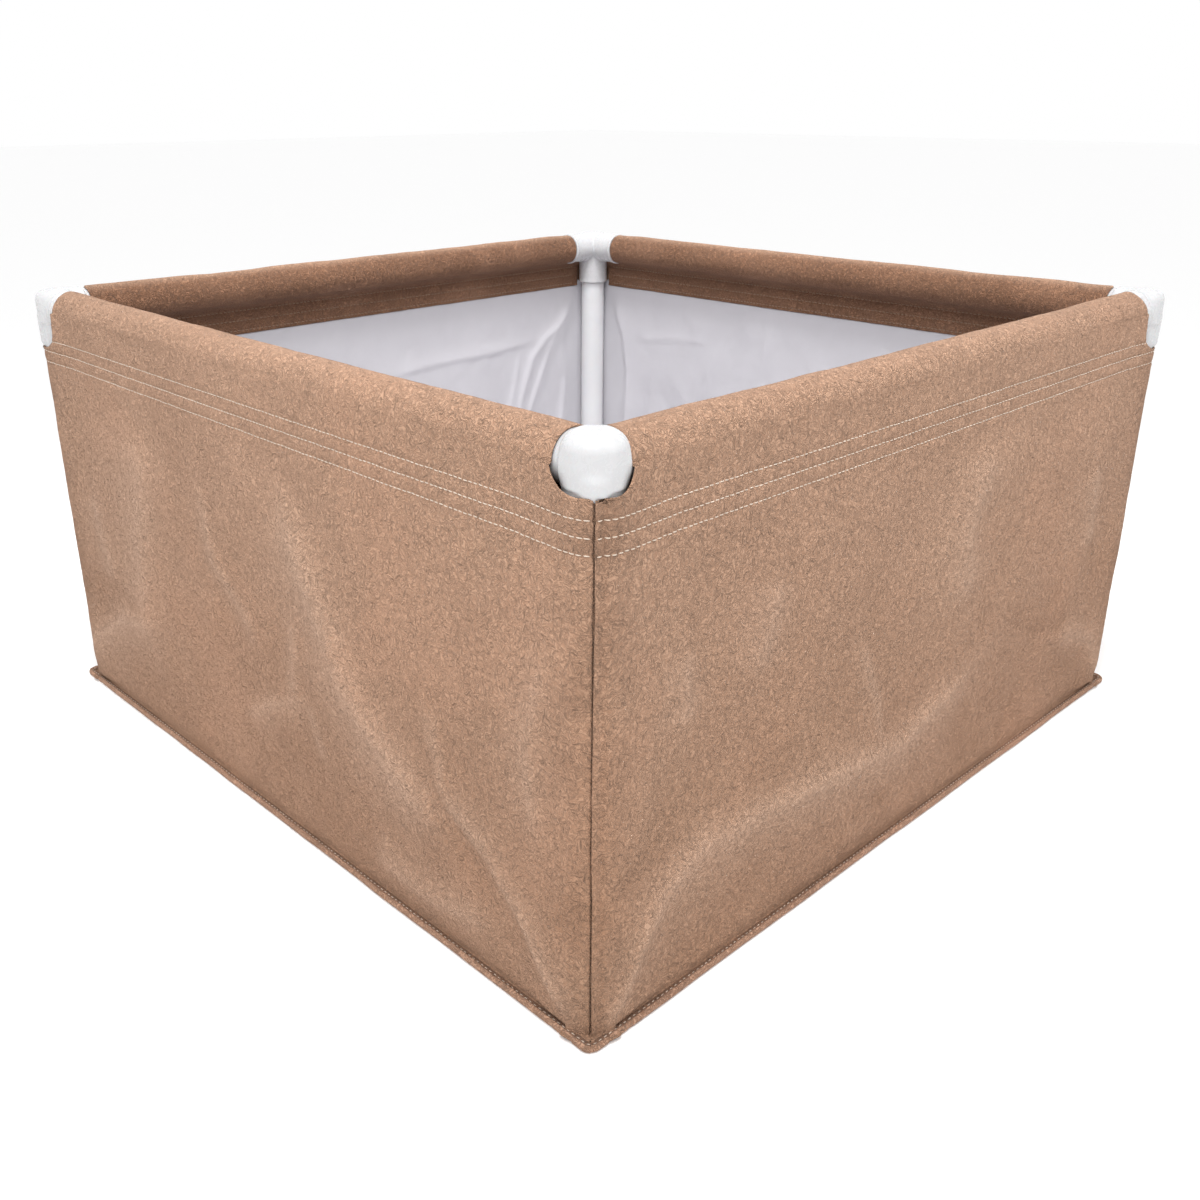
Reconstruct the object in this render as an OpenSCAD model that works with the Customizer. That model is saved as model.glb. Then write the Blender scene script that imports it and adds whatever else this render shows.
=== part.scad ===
// Square fabric grow bag carried on a push-together pipe frame.
// Millimetres, +Z up. The origin is the centre of the footprint on the ground.
// The front side faces -Y, the right side +X, the back side +Y, the left side -X.

/* [Frame] */
// Distance between the axes of neighbouring corner posts
post_pitch = 630; // [500:5:800]
// Height of the top rail axis above the ground
rail_axis_z = 341; // [260:1:480]
// Outside diameter of the pipes
pipe_od = 26.7; // [24:0.1:27]
// Wall thickness of the pipes
pipe_wall = 2.9; // [1.8:0.1:4]

/* [Corner fittings] */
// Outside diameter of a fitting socket
socket_od = 31; // [29.5:0.1:31.5]
// Radial play between a pipe and its socket
socket_play = 0.1; // [0.05:0.01:0.3]
// Distance from the corner axis to the mouth of a socket
socket_reach = 43; // [38:0.5:50]
// Distance from the corner axis to the stop inside a socket
socket_stop = 17; // [14:0.5:20]
// How far the raised rim stands out at the mouth of a horizontal socket
rim_rise = 1.1; // [0.4:0.1:1.2]
// Width of the raised rim along the socket
rim_width = 3; // [1.5:0.1:5]

/* [Fabric] */
// Thickness of the brushed outer fabric
fabric_t = 1.5; // [1:0.1:2]
// Thickness of the pale lining
lining_t = 0.6; // [0.3:0.1:0.9]
// Outer radius of the sleeve that carries a top rail
sleeve_r = 15.8; // [15.5:0.1:16.5]
// Height of the corner opening's lower edge, measured down from the rail axis
corner_drop = 13; // [8:0.5:18]
// Height of the hem's free edge, measured down from the rail axis
hem_drop = 44; // [38:0.5:60]

/* [Stitching] */
// Number of stitch rows below the sleeve
rows = 3; // [1:1:3]
// Distance of the first stitch row below the rail axis
row_first = 23; // [21:0.5:26]
// Distance between stitch rows
row_pitch = 9.2; // [6:0.1:9.5]
// Width of a thread
thread_w = 1; // [0.6:0.1:1.4]
// How far a thread stands out of the cloth
thread_rise = 0.5; // [0.3:0.1:0.8]

/* [Base welt] */
// Width of the bound welt that runs round the base
welt_w = 7.7; // [5:0.1:12]
// Thickness of the binding tape
tape_t = 0.8; // [0.5:0.1:1.2]

/* [Hidden] */

half = post_pitch / 2;
pipe_r = pipe_od / 2;
socket_r = socket_od / 2;
rim_r = socket_r + rim_rise;
bore_r = pipe_r + socket_play;
clear = 0.4;

// Offsets outwards from the plane of the post axes
u_lining_in = rim_r + clear;
u_wall_in = u_lining_in + lining_t;
u_wall_out = u_wall_in + fabric_t;
u_hem_in = u_lining_in - fabric_t;
u_tape = u_wall_out + clear;
u_welt_in = u_wall_out + welt_w - tape_t;
u_welt_out = u_wall_out + welt_w;

// Heights of the layers at the base
z_edge = tape_t;
z_flange = tape_t + fabric_t;
z_tape = tape_t + 2 * fabric_t;
z_welt = 2 * tape_t + 2 * fabric_t;
low_axis_z = fabric_t + lining_t + rim_r + 0.2;

z_row = [for (i = [0 : rows - 1]) rail_axis_z - row_first - i * row_pitch];
hem_z = rail_axis_z - hem_drop;
sleeve_half = half - socket_reach - 1;

tan_cloth = [0.70, 0.57, 0.48];
pale_cloth = [0.83, 0.82, 0.85];
white_plastic = [0.95, 0.95, 0.95];
cream_thread = [0.90, 0.84, 0.76];

// The four sides and the four corners repeat about the upright axis.
// Side 0 is the front, 1 the right, 2 the back and 3 the left.
// Corner 0 is front left, 1 front right, 2 back right and 3 back left.
module on_side(k) { rotate([0, 0, 90 * k]) children(); }

module at_corner(k, z) {
    rotate([0, 0, 90 * k]) translate([-half, -half, z]) children();
}

// A profile drawn as (offset outwards, height), run along the front side
module run_along(half_len) {
    translate([-half_len, 0, 0])
        rotate([90, 0, 90])
            linear_extrude(height = 2 * half_len)
                mirror([1, 0]) translate([half, 0]) children();
}

// Cuts a front strip at 45 degrees where it meets its neighbours
module mitred() {
    intersection() {
        children();
        translate([0, 0, -5])
            linear_extrude(height = rail_axis_z + 60)
                polygon([[0, 0], [-2 * half, -2 * half], [2 * half, -2 * half]]);
    }
}

// A three-way corner fitting with its sockets along +X, +Y and up or down
module socket_out(rim) {
    cylinder(h = socket_reach, r = socket_r, $fn = 96);
    translate([0, 0, socket_reach - rim_width]) cylinder(h = rim_width, r = socket_r + rim, $fn = 96);
}

module socket_in() {
    cylinder(h = socket_stop + 1, r = pipe_r - pipe_wall, $fn = 96);
    translate([0, 0, socket_stop]) cylinder(h = socket_reach, r = bore_r, $fn = 96);
}

module fitting(dir) {
    color(white_plastic)
    difference() {
        union() {
            sphere(r = socket_r + 0.3, $fn = 96);
            rotate([0, 90, 0]) socket_out(rim_rise);
            rotate([-90, 0, 0]) socket_out(rim_rise);
            rotate([dir > 0 ? 0 : 180, 0, 0]) socket_out(rim_rise * 0.4);
        }
        rotate([0, 90, 0]) socket_in();
        rotate([-90, 0, 0]) socket_in();
        rotate([dir > 0 ? 0 : 180, 0, 0]) socket_in();
    }
}

module pipe(length) {
    difference() {
        cylinder(h = length, r = pipe_r, $fn = 96);
        translate([0, 0, -1]) cylinder(h = length + 2, r = pipe_r - pipe_wall, $fn = 96);
    }
}

module top_fitting(k) { at_corner(k, rail_axis_z) fitting(-1); }

module bottom_fitting(k) { at_corner(k, low_axis_z) fitting(1); }

module post(k) {
    s = socket_stop + 0.5;
    color(white_plastic)
    at_corner(k, low_axis_z + s) pipe(rail_axis_z - low_axis_z - 2 * s);
}

module rail(k, z) {
    s = socket_stop + 0.5;
    color(white_plastic)
    on_side(k) translate([-half + s, -half, z]) rotate([0, 90, 0]) pipe(post_pitch - 2 * s);
}

// The sleeve in section: a ring open at its foot, closed by two straight runs
// that meet at the first stitch row
module sleeve_section() {
    r_mid = sleeve_r - fabric_t / 2;
    foot = [u_hem_in + fabric_t / 2, z_row[0]];
    d = norm([foot[0], row_first]);
    a0 = atan2(-row_first, foot[0]);
    a_in = a0 - acos(r_mid / d);
    difference() {
        translate([0, rail_axis_z]) circle(r = sleeve_r, $fn = 128);
        translate([0, rail_axis_z]) circle(r = sleeve_r - fabric_t, $fn = 128);
        // the open foot of the ring
        translate([0, rail_axis_z])
            polygon([[0, 0], 60 * [cos(a_in), sin(a_in)], 80 * [cos(a0), sin(a0)], [60, 0]]);
    }
    // outer run, from the ring down to the wall
    polygon([
        [sleeve_r - fabric_t, rail_axis_z + 0.5], [sleeve_r, rail_axis_z + 0.5],
        [u_wall_out, rail_axis_z - row_first + 3], [u_wall_out, rail_axis_z - row_first],
        [u_wall_in, rail_axis_z - row_first], [u_wall_in, rail_axis_z - row_first + 3]
    ]);
    // inner run, from the ring down and out to the hem
    n = [cos(a_in), sin(a_in)];
    t = [-n[1], n[0]];
    c = [0, rail_axis_z];
    polygon([
        c + (r_mid - fabric_t / 2) * n - 0.5 * t, c + (r_mid + fabric_t / 2) * n - 0.5 * t,
        [u_hem_in, z_row[0] - 0.5], [u_hem_in + fabric_t, z_row[0] - 0.5],
        [u_hem_in + fabric_t, z_row[0] + 1]
    ]);
}

// One side: wall, sleeve, hem turned down inside, and foot turned out
module side_panel(k) {
    w = half + u_wall_out;
    color(tan_cloth)
    on_side(k) mitred() union() {
        // wall, with the corner openings cut out of its top
        translate([0, -half - u_wall_in, 0])
            rotate([90, 0, 0])
                linear_extrude(height = fabric_t)
                    polygon([
                        [-w, z_flange], [w, z_flange],
                        [w, rail_axis_z - corner_drop], [half - 12, rail_axis_z - 5],
                        [half - 30, rail_axis_z + 2], [sleeve_half, rail_axis_z + 2],
                        [sleeve_half, rail_axis_z - row_first + 2], [-sleeve_half, rail_axis_z - row_first + 2],
                        [-sleeve_half, rail_axis_z + 2], [-half + 30, rail_axis_z + 2],
                        [-half + 12, rail_axis_z - 5], [-w, rail_axis_z - corner_drop]
                    ]);
        run_along(sleeve_half) sleeve_section();
        // hem
        run_along(half - socket_r - 4)
            polygon([[u_hem_in, hem_z], [u_hem_in + fabric_t, hem_z],
                     [u_hem_in + fabric_t, z_row[0]], [u_hem_in, z_row[0]]]);
        // foot
        run_along(half + u_welt_in)
            polygon([[u_wall_in, z_flange], [u_welt_in, z_flange],
                     [u_welt_in, z_tape], [u_wall_in, z_tape]]);
        // the hem and the wall are sewn together above the lining
        run_along(sleeve_half)
            polygon([[u_hem_in + fabric_t - 0.2, z_row[0] - 1], [u_wall_in + 0.2, z_row[0] - 1],
                     [u_wall_in + 0.2, z_row[0] + 1], [u_hem_in + fabric_t - 0.2, z_row[0] + 1]]);
    }
}

// The pale lining of one side, tucked under the hem
module lining(k) {
    color(pale_cloth)
    on_side(k) mitred()
        run_along(half + u_wall_in)
            polygon([[u_lining_in, z_flange], [u_wall_in, z_flange],
                     [u_wall_in, z_row[0] - 1.2], [u_lining_in, z_row[0] - 1.2]]);
}

// The base, whose raised edge runs into the welt
module base_panel() {
    m = half + u_wall_out;
    e = half + u_welt_in;
    i = half + u_lining_in - 1;
    color(tan_cloth)
    union() {
        translate([-m, -m, 0]) cube([2 * m, 2 * m, fabric_t]);
        difference() {
            translate([-e, -e, z_edge]) cube([2 * e, 2 * e, fabric_t]);
            translate([-i, -i, z_edge - 1]) cube([2 * i, 2 * i, fabric_t + 2]);
        }
    }
}

module base_lining() {
    i = half + u_lining_in - 1;
    color(pale_cloth)
    translate([-i, -i, fabric_t]) cube([2 * i, 2 * i, lining_t]);
}

// Folded tape that binds the edge of the base to the foot of one side
module base_binding(k) {
    color(tan_cloth * 0.93)
    on_side(k) mitred()
        run_along(half + u_welt_out)
            difference() {
                translate([u_tape, 0]) square([u_welt_out - u_tape, z_welt]);
                translate([u_tape - 1, z_edge]) square([u_welt_in - u_tape + 1, z_tape - z_edge]);
            }
}

// Threads of the rows that close one sleeve, seen outside and inside
module hem_stitches(k) {
    color(cream_thread)
    on_side(k) {
        for (z = z_row) {
            run_along(half + u_wall_out - 6)
                translate([u_wall_out, z - thread_w / 2]) square([thread_rise, thread_w]);
            run_along(half - socket_r - 5)
                translate([u_hem_in - thread_rise, z - thread_w / 2]) square([thread_rise, thread_w]);
        }
    }
}

// Thread that runs round the top of the welt
module base_stitches() {
    color(cream_thread)
    for (k = [0 : 3])
        on_side(k)
            run_along(half + u_wall_out - 2)
                translate([u_tape + 0.3, z_welt]) square([thread_w, thread_rise * 0.8]);
}

top_fitting(0);  // top_fitting_front_left
top_fitting(1);  // top_fitting_front_right
top_fitting(2);  // top_fitting_back_right
top_fitting(3);  // top_fitting_back_left
bottom_fitting(0);  // bottom_fitting_front_left
bottom_fitting(1);  // bottom_fitting_front_right
bottom_fitting(2);  // bottom_fitting_back_right
bottom_fitting(3);  // bottom_fitting_back_left
post(0);  // post_front_left
post(1);  // post_front_right
post(2);  // post_back_right
post(3);  // post_back_left
rail(0, rail_axis_z);  // top_rail_front
rail(1, rail_axis_z);  // top_rail_right
rail(2, rail_axis_z);  // top_rail_back
rail(3, rail_axis_z);  // top_rail_left
rail(0, low_axis_z);  // bottom_rail_front
rail(1, low_axis_z);  // bottom_rail_right
rail(2, low_axis_z);  // bottom_rail_back
rail(3, low_axis_z);  // bottom_rail_left
side_panel(0);  // side_panel_front
side_panel(1);  // side_panel_right
side_panel(2);  // side_panel_back
side_panel(3);  // side_panel_left
lining(0);  // lining_front
lining(1);  // lining_right
lining(2);  // lining_back
lining(3);  // lining_left
base_panel();
base_lining();
base_binding(0);  // base_binding_front
base_binding(1);  // base_binding_right
base_binding(2);  // base_binding_back
base_binding(3);  // base_binding_left
hem_stitches(0);  // hem_stitches_front
hem_stitches(1);  // hem_stitches_right
hem_stitches(2);  // hem_stitches_back
hem_stitches(3);  // hem_stitches_left
base_stitches();
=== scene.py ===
"""Looks of the framed fabric grow bag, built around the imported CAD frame.

Lengths inside the builders are millimetres and become metres when a mesh is
made. A side is described in its own coordinates: s runs along it, u is the
distance outwards from the plane of the post axes, z is up. Side 0 faces -Y,
side 1 +X, side 2 +Y and side 3 -X.
"""

import math

import bpy
import numpy as np
from mathutils import Euler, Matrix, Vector

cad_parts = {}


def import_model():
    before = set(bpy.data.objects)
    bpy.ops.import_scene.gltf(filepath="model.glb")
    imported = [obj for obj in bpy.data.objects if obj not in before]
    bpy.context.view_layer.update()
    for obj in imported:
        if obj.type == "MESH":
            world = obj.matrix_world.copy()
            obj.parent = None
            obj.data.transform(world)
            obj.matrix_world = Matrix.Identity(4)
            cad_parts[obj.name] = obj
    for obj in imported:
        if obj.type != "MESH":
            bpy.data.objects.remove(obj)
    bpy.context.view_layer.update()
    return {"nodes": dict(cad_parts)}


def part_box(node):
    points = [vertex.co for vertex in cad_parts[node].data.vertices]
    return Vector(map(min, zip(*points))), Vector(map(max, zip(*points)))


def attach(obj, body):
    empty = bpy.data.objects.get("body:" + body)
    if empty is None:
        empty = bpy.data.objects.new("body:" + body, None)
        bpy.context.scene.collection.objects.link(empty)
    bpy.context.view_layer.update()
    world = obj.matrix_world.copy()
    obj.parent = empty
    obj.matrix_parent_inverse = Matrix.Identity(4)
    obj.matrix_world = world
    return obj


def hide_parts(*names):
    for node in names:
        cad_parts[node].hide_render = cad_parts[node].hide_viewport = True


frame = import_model()

SIDES = ("front", "right", "back", "left")
CORNERS = ("front_left", "front_right", "back_right", "back_left")

# Dimensions from the CAD frame
_lo, _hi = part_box("top_rail_front")
AXIS_Z = (_lo.z + _hi.z) * 500.0
PIPE_R = (_hi.z - _lo.z) * 500.0
HALF = -(_lo.y + _hi.y) * 500.0
_lo, _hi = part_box("bottom_rail_front")
LOW_Z = (_lo.z + _hi.z) * 500.0
_lo, _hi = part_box("side_panel_front")
U_FOOT = -_lo.y * 1000.0 - HALF
Z_FOOT = _hi.z * 0.0 + 3.1
_lo, _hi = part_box("base_binding_front")
U_EDGE = -_lo.y * 1000.0 - HALF
Z_WELT = _hi.z * 1000.0
ROWS = (AXIS_Z - 23.0, AXIS_Z - 32.2, AXIS_Z - 41.4)
HEM_Z = AXIS_Z - 44.0


# ---------------------------------------------------------------- small maths
def smooth(x, a, b):
    """0 below a, 1 above b, smooth between; works for a > b too."""
    t = np.clip((np.asarray(x, float) - a) / (b - a), 0.0, 1.0)
    return t * t * (3.0 - 2.0 * t)


def bump(x, c, w):
    """A smooth hill of height 1 at c that is w wide at half its height."""
    return np.exp(-((np.asarray(x, float) - c) / (0.6 * w)) ** 2)


def curve_at(x, xs, ys):
    """Monotone cubic through the points (xs, ys), flat outside them."""
    xs, ys = np.asarray(xs, float), np.asarray(ys, float)
    h, d = np.diff(xs), np.diff(ys) / np.diff(xs)
    m = np.zeros(len(xs))
    for i in range(1, len(xs) - 1):
        if d[i - 1] * d[i] > 0:
            w1, w2 = 2 * h[i] + h[i - 1], h[i] + 2 * h[i - 1]
            m[i] = (w1 + w2) / (w1 / d[i - 1] + w2 / d[i])
    m[0], m[-1] = d[0], d[-1]
    x = np.clip(np.asarray(x, float), xs[0], xs[-1])
    i = np.clip(np.searchsorted(xs, x) - 1, 0, len(h) - 1)
    t = (x - xs[i]) / h[i]
    return (
        (2 * t**3 - 3 * t**2 + 1) * ys[i]
        + (t**3 - 2 * t**2 + t) * h[i] * m[i]
        + (-2 * t**3 + 3 * t**2) * ys[i + 1]
        + (t**3 - t**2) * h[i] * m[i + 1]
    )


def lattice(seed, n=64):
    return np.random.default_rng(seed).uniform(-1.0, 1.0, (n, n))


def noise2(x, y, seed, cell):
    """Smooth value noise from -1 to 1 with cells of that size."""
    g = lattice(seed)
    n = g.shape[0]
    x, y = np.asarray(x, float) / cell + 1000.0, np.asarray(y, float) / cell + 1000.0
    ix, iy = np.floor(x).astype(int), np.floor(y).astype(int)
    fx, fy = x - ix, y - iy
    fx, fy = fx * fx * fx * (fx * (fx * 6 - 15) + 10), fy * fy * fy * (fy * (fy * 6 - 15) + 10)
    a, b = g[ix % n, iy % n], g[(ix + 1) % n, iy % n]
    c, d = g[ix % n, (iy + 1) % n], g[(ix + 1) % n, (iy + 1) % n]
    return (a * (1 - fx) + b * fx) * (1 - fy) + (c * (1 - fx) + d * fx) * fy


def fold(s, z, pts, width, height, skew=0.0):
    """A crease along a broken line of (s, z) points: a ridge of that width and
    height that fades at its ends. skew shifts a valley to one side of it."""
    best = np.full(np.shape(s), 1e9)
    side = np.zeros(np.shape(s))
    along = np.zeros(np.shape(s))
    pts = [np.array(p, float) for p in pts]
    total = sum(np.linalg.norm(b - a) for a, b in zip(pts, pts[1:]))
    run = 0.0
    for a, b in zip(pts, pts[1:]):
        d = b - a
        ln = np.linalg.norm(d)
        t = np.clip(((s - a[0]) * d[0] + (z - a[1]) * d[1]) / ln**2, 0, 1)
        ds, dz = s - (a[0] + t * d[0]), z - (a[1] + t * d[1])
        dist = np.hypot(ds, dz)
        near = dist < best
        best = np.where(near, dist, best)
        side = np.where(near, np.sign(ds * d[1] - dz * d[0]) * dist, side)
        along = np.where(near, (run + t * ln) / total, along)
        run += ln
    ends = smooth(along, 0.0, 0.18) * smooth(along, 1.0, 0.82) * 0.8 + 0.2
    # a crisp crest, steep on one side and easing away on the other
    crest = np.sqrt(side**2 + (0.18 * width) ** 2) - 0.18 * width
    steep = np.exp(-crest / (0.62 * width))
    easy = np.exp(-crest / (width * (1.0 + 2.2 * skew)))
    shape = np.where(side > 0, easy, steep)
    return height * shape * ends * smooth(best, 6.5 * width, 1.5 * width)


# ---------------------------------------------------------------- mesh making
def world(k, s, u, z):
    """Side coordinates of side k to frame coordinates, still millimetres."""
    x, y = np.asarray(s, float), -(HALF + np.asarray(u, float))
    for _ in range(k % 4):
        x, y = -y, x
    return np.stack([x, y, np.broadcast_to(np.asarray(z, float), x.shape)], -1)


def make_object(name, co, faces, material=None, smooth_faces=True):
    """A mesh object from millimetre vertices and faces (arrays or lists)."""
    me = bpy.data.meshes.new(name)
    co = np.asarray(co, np.float64) * 0.001
    if isinstance(faces, np.ndarray):
        n = faces.shape[1]
        me.vertices.add(len(co))
        me.vertices.foreach_set("co", co.astype(np.float32).ravel())
        me.loops.add(faces.size)
        me.loops.foreach_set("vertex_index", faces.astype(np.int32).ravel())
        me.polygons.add(len(faces))
        me.polygons.foreach_set("loop_start", np.arange(0, faces.size, n, dtype=np.int32))
        me.update(calc_edges=True)
        me.validate()
    else:
        me.from_pydata([tuple(p) for p in co], [], faces)
        me.update()
    me.polygons.foreach_set("use_smooth", [smooth_faces] * len(me.polygons))
    ob = bpy.data.objects.new(name, me)
    bpy.context.scene.collection.objects.link(ob)
    if material:
        me.materials.append(material)
    return ob


def paint(ob, name, values):
    """Stores one number per vertex for the material to read."""
    at = ob.data.attributes.new(name, "FLOAT", "POINT")
    at.data.foreach_set("value", np.asarray(values, np.float32).ravel())


def grid_normals(g):
    """Unit normals of a grid of points (rows, columns, 3)."""
    a = np.gradient(g, axis=1)
    b = np.gradient(g, axis=0)
    n = np.cross(a, b)
    ln = np.linalg.norm(n, axis=2, keepdims=True)
    return n / np.maximum(ln, 1e-12)


def shell(g, thick, n, round_edge=0.5):
    """A closed sheet from its outer grid: vertices, quads, and how far each
    vertex is through the thickness. thick is a number or one per grid point."""
    r, c = g.shape[:2]
    raw = grid_normals(g)
    turn = 1.0 if float((raw * n).sum()) >= 0 else -1.0
    th = np.broadcast_to(np.asarray(thick, float), (r, c))[..., None]
    inner = g - n * th
    idx = np.arange(r * c).reshape(r, c)
    quads = np.stack([idx[:-1, :-1], idx[:-1, 1:], idx[1:, 1:], idx[1:, :-1]], -1).reshape(-1, 4)
    back = quads[:, ::-1] + r * c
    loop = np.concatenate([idx[0, :], idx[1:, -1], idx[-1, -2::-1], idx[-2:0:-1, 0]])
    # middle ring of the rounded edge, pushed a little outwards in the sheet
    gi = g.reshape(-1, 3)[loop]
    ii = inner.reshape(-1, 3)[loop]
    nn = n.reshape(-1, 3)[loop]
    tangent = np.roll(gi, -1, 0) - np.roll(gi, 1, 0)
    out = np.cross(tangent, nn) * turn
    out /= np.maximum(np.linalg.norm(out, axis=1, keepdims=True), 1e-9)
    mid = (gi + ii) / 2 + out * th.reshape(-1, 1)[loop] * round_edge
    m0 = 2 * r * c
    m = len(loop)
    nx = np.roll(np.arange(m), -1)
    rim = np.concatenate([
        np.stack([loop, m0 + np.arange(m), m0 + nx, loop[nx]], -1),
        np.stack([m0 + np.arange(m), loop + r * c, loop[nx] + r * c, m0 + nx], -1),
    ])
    co = np.concatenate([g.reshape(-1, 3), inner.reshape(-1, 3), mid])
    faces = np.concatenate([quads, back, rim])
    depth = np.concatenate([np.zeros(r * c), np.ones(r * c), np.full(m, 0.5)])
    return co, faces, depth, loop


def fix_normals(ob):
    """Turns a closed mesh's faces outwards."""
    import bmesh

    bm = bmesh.new()
    bm.from_mesh(ob.data)
    bmesh.ops.recalc_face_normals(bm, faces=bm.faces)
    bm.to_mesh(ob.data)
    bm.free()
    ob.data.update()


def settle(ob, slot_name, *nodes):
    """The piece rides on the one body and stands for its nodes; slot_name is not used."""
    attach(ob, "root")
    if nodes:
        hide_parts(*nodes)
    return ob
# ------------------------------------------------------------- corner profile
ARC = 13.0  # nominal length of the wrap round a post, up to the turned-in edge
TURN = 3.4
TAIL = 4.0


def plan(w, u, r, kind):
    """Plan position (s beyond the post axis, u) at column coordinate w: w < 0
    is the flat wall, 0 to ARC the wrap round the post, then the turned-in edge.
    kind 1 is the edge that stands up as a thin ridge, kind 0 turns straight in."""
    w, u, r = np.broadcast_arrays(np.asarray(w, float), u, r)
    rho, gap = (0.8, 0.28) if kind else (1.5, 0.42)
    rc = r - rho
    psi_c = np.arcsin((rho + gap) / rc)
    lift = 0.0
    psi = math.pi / 4 - (math.pi / 4 - psi_c) * np.clip(w, 0, ARC) / ARC
    rr = r + 0.0
    if kind:
        rr = r + 0.95 * smooth(w, ARC - 2.3, ARC - 0.5) - 0.8 * bump(w, ARC - 3.6, 2.4)
    al = -psi_c + (math.pi / 2 + psi_c) * np.clip((w - ARC) / TURN, 0, 1)
    back = np.clip(w - ARC - TURN, 0, None)
    top = r + (0.95 if kind else 0.0) - rho
    # in the bisector's axes: b outwards, c towards the neighbour's side
    tail = back * (0.12 if kind else 0.16)
    b = np.where(w <= ARC, rr * np.cos(psi), top * np.cos(psi_c) + rho * np.cos(al) - tail)
    cross = 0.0 if kind else 1.0 * back / TAIL * 2.2
    c = np.where(w <= ARC, -rr * np.sin(psi), -top * np.sin(psi_c) + rho * np.sin(al) + cross)
    q = math.sqrt(0.5)
    # bisector outwards is (1, 1)/sqrt2 in (s, u); towards the neighbour is (1, -1)/sqrt2
    s_out = (b + c) * q
    u_out = (b - c) * q
    flat = w < 0
    return np.where(flat, w, s_out), np.where(flat, u, u_out)


# The opening's edge round a corner: column coordinate against height below
# the rail axis on the wall, then against the angle round the rail.
CUT_DZ = [-13.25, -13.2, -12.85, -12.25, -11.3, -9.4, -7.3, -5.5, -3.2, 0.0]
CUT_W = [ARC + TURN + TAIL, ARC, 4.0, 1.0, -2.5, -5.7, -8.0, -9.5, -10.8, -12.0]
# per corner: how far the sleeve stops from the corner on the outer face, on top
# and inside, and how the lower edge of the opening is stretched to meet it
SIDE_DZ = [-31.3, -31.2, -30.8, -29.8, -27.6, -24.4, -21.0, -17.0, -8.0, 0.0]
SIDE_W = [ARC + TURN + TAIL, ARC, 4.0, -2.5, -9.0, -14.5, -18.0, -19.8, -20.6, -21.0]
BACK_DZ = [-14.26, -14.25, -14.1, -13.7, -13.3, -12.6, -11.3, -8.0, 0.0]
BACK_W = [ARC + TURN + TAIL, ARC, 4.0, -8.0, -17.0, -28.0, -36.0, -41.5, -42.0]
LOWEST = {"front_right": -13.25, "back_left": -14.26}  # bottom of each opening
CORNER_CUT = {
    "front_right": {"out": 12.0, "top": 12.5, "inn": 18.0, 1: 14.4, -1: 9.6},
    "front_left": dict(out=21.0, top=25.5, inn=22.0),
    "back_right": dict(out=21.0, top=25.5, inn=22.0),
    "back_left": dict(out=42.0, top=42.6, inn=42.3),
}
# the back corner's sleeves stop short of the fittings' rims


def cut_w(z_rel, phase, corner, end):
    """Column coordinate where a row ends. phase 0 is the wall and its rise to
    the rail, 1 the ring (z_rel is then the angle in degrees), 2 the inner run
    and hem (z_rel is the height below the rail axis)."""
    c = CORNER_CUT[corner]
    if phase == 0:
        if corner == "front_right":
            base = curve_at(z_rel, CUT_DZ, CUT_W)
            return np.where(base < 0, base * c[end] / 12.0, base)
        if corner == "back_left":
            return curve_at(z_rel, BACK_DZ, BACK_W)
        base = curve_at(z_rel, SIDE_DZ, SIDE_W)
        return np.where(base < 0, base * c["out"] / 21.0, base)
    if phase == 1 and end in c:
        return -curve_at(z_rel, [0, 62, 110, 180, 250], [c[end], c[end] + 0.5, c["inn"] - 3.5, c["inn"], c["inn"]])
    if phase == 1:
        return -curve_at(z_rel, [0, 60, 110, 180, 250], [c["out"], c["top"], c["inn"], c["inn"], c["inn"]])
    return -curve_at(-z_rel, [0, 12, 15.0, 16.6, 18.0, 20.0, 45], [c["inn"], c["inn"], c["inn"] - 1.5, min(c["inn"] - 2, 36.0), 15.5, 13.9, 13.7])


# ------------------------------------------------------------- side profile
RING_R = 15.5  # outer radius of the sleeve between the fittings
U_TOP, U_LOW = 16.2, 18.9  # wall at the first stitch row and at the foot
FILLET = 1.5
FOOT_Z = 2.35  # the foot's upper face is its outer face


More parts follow.
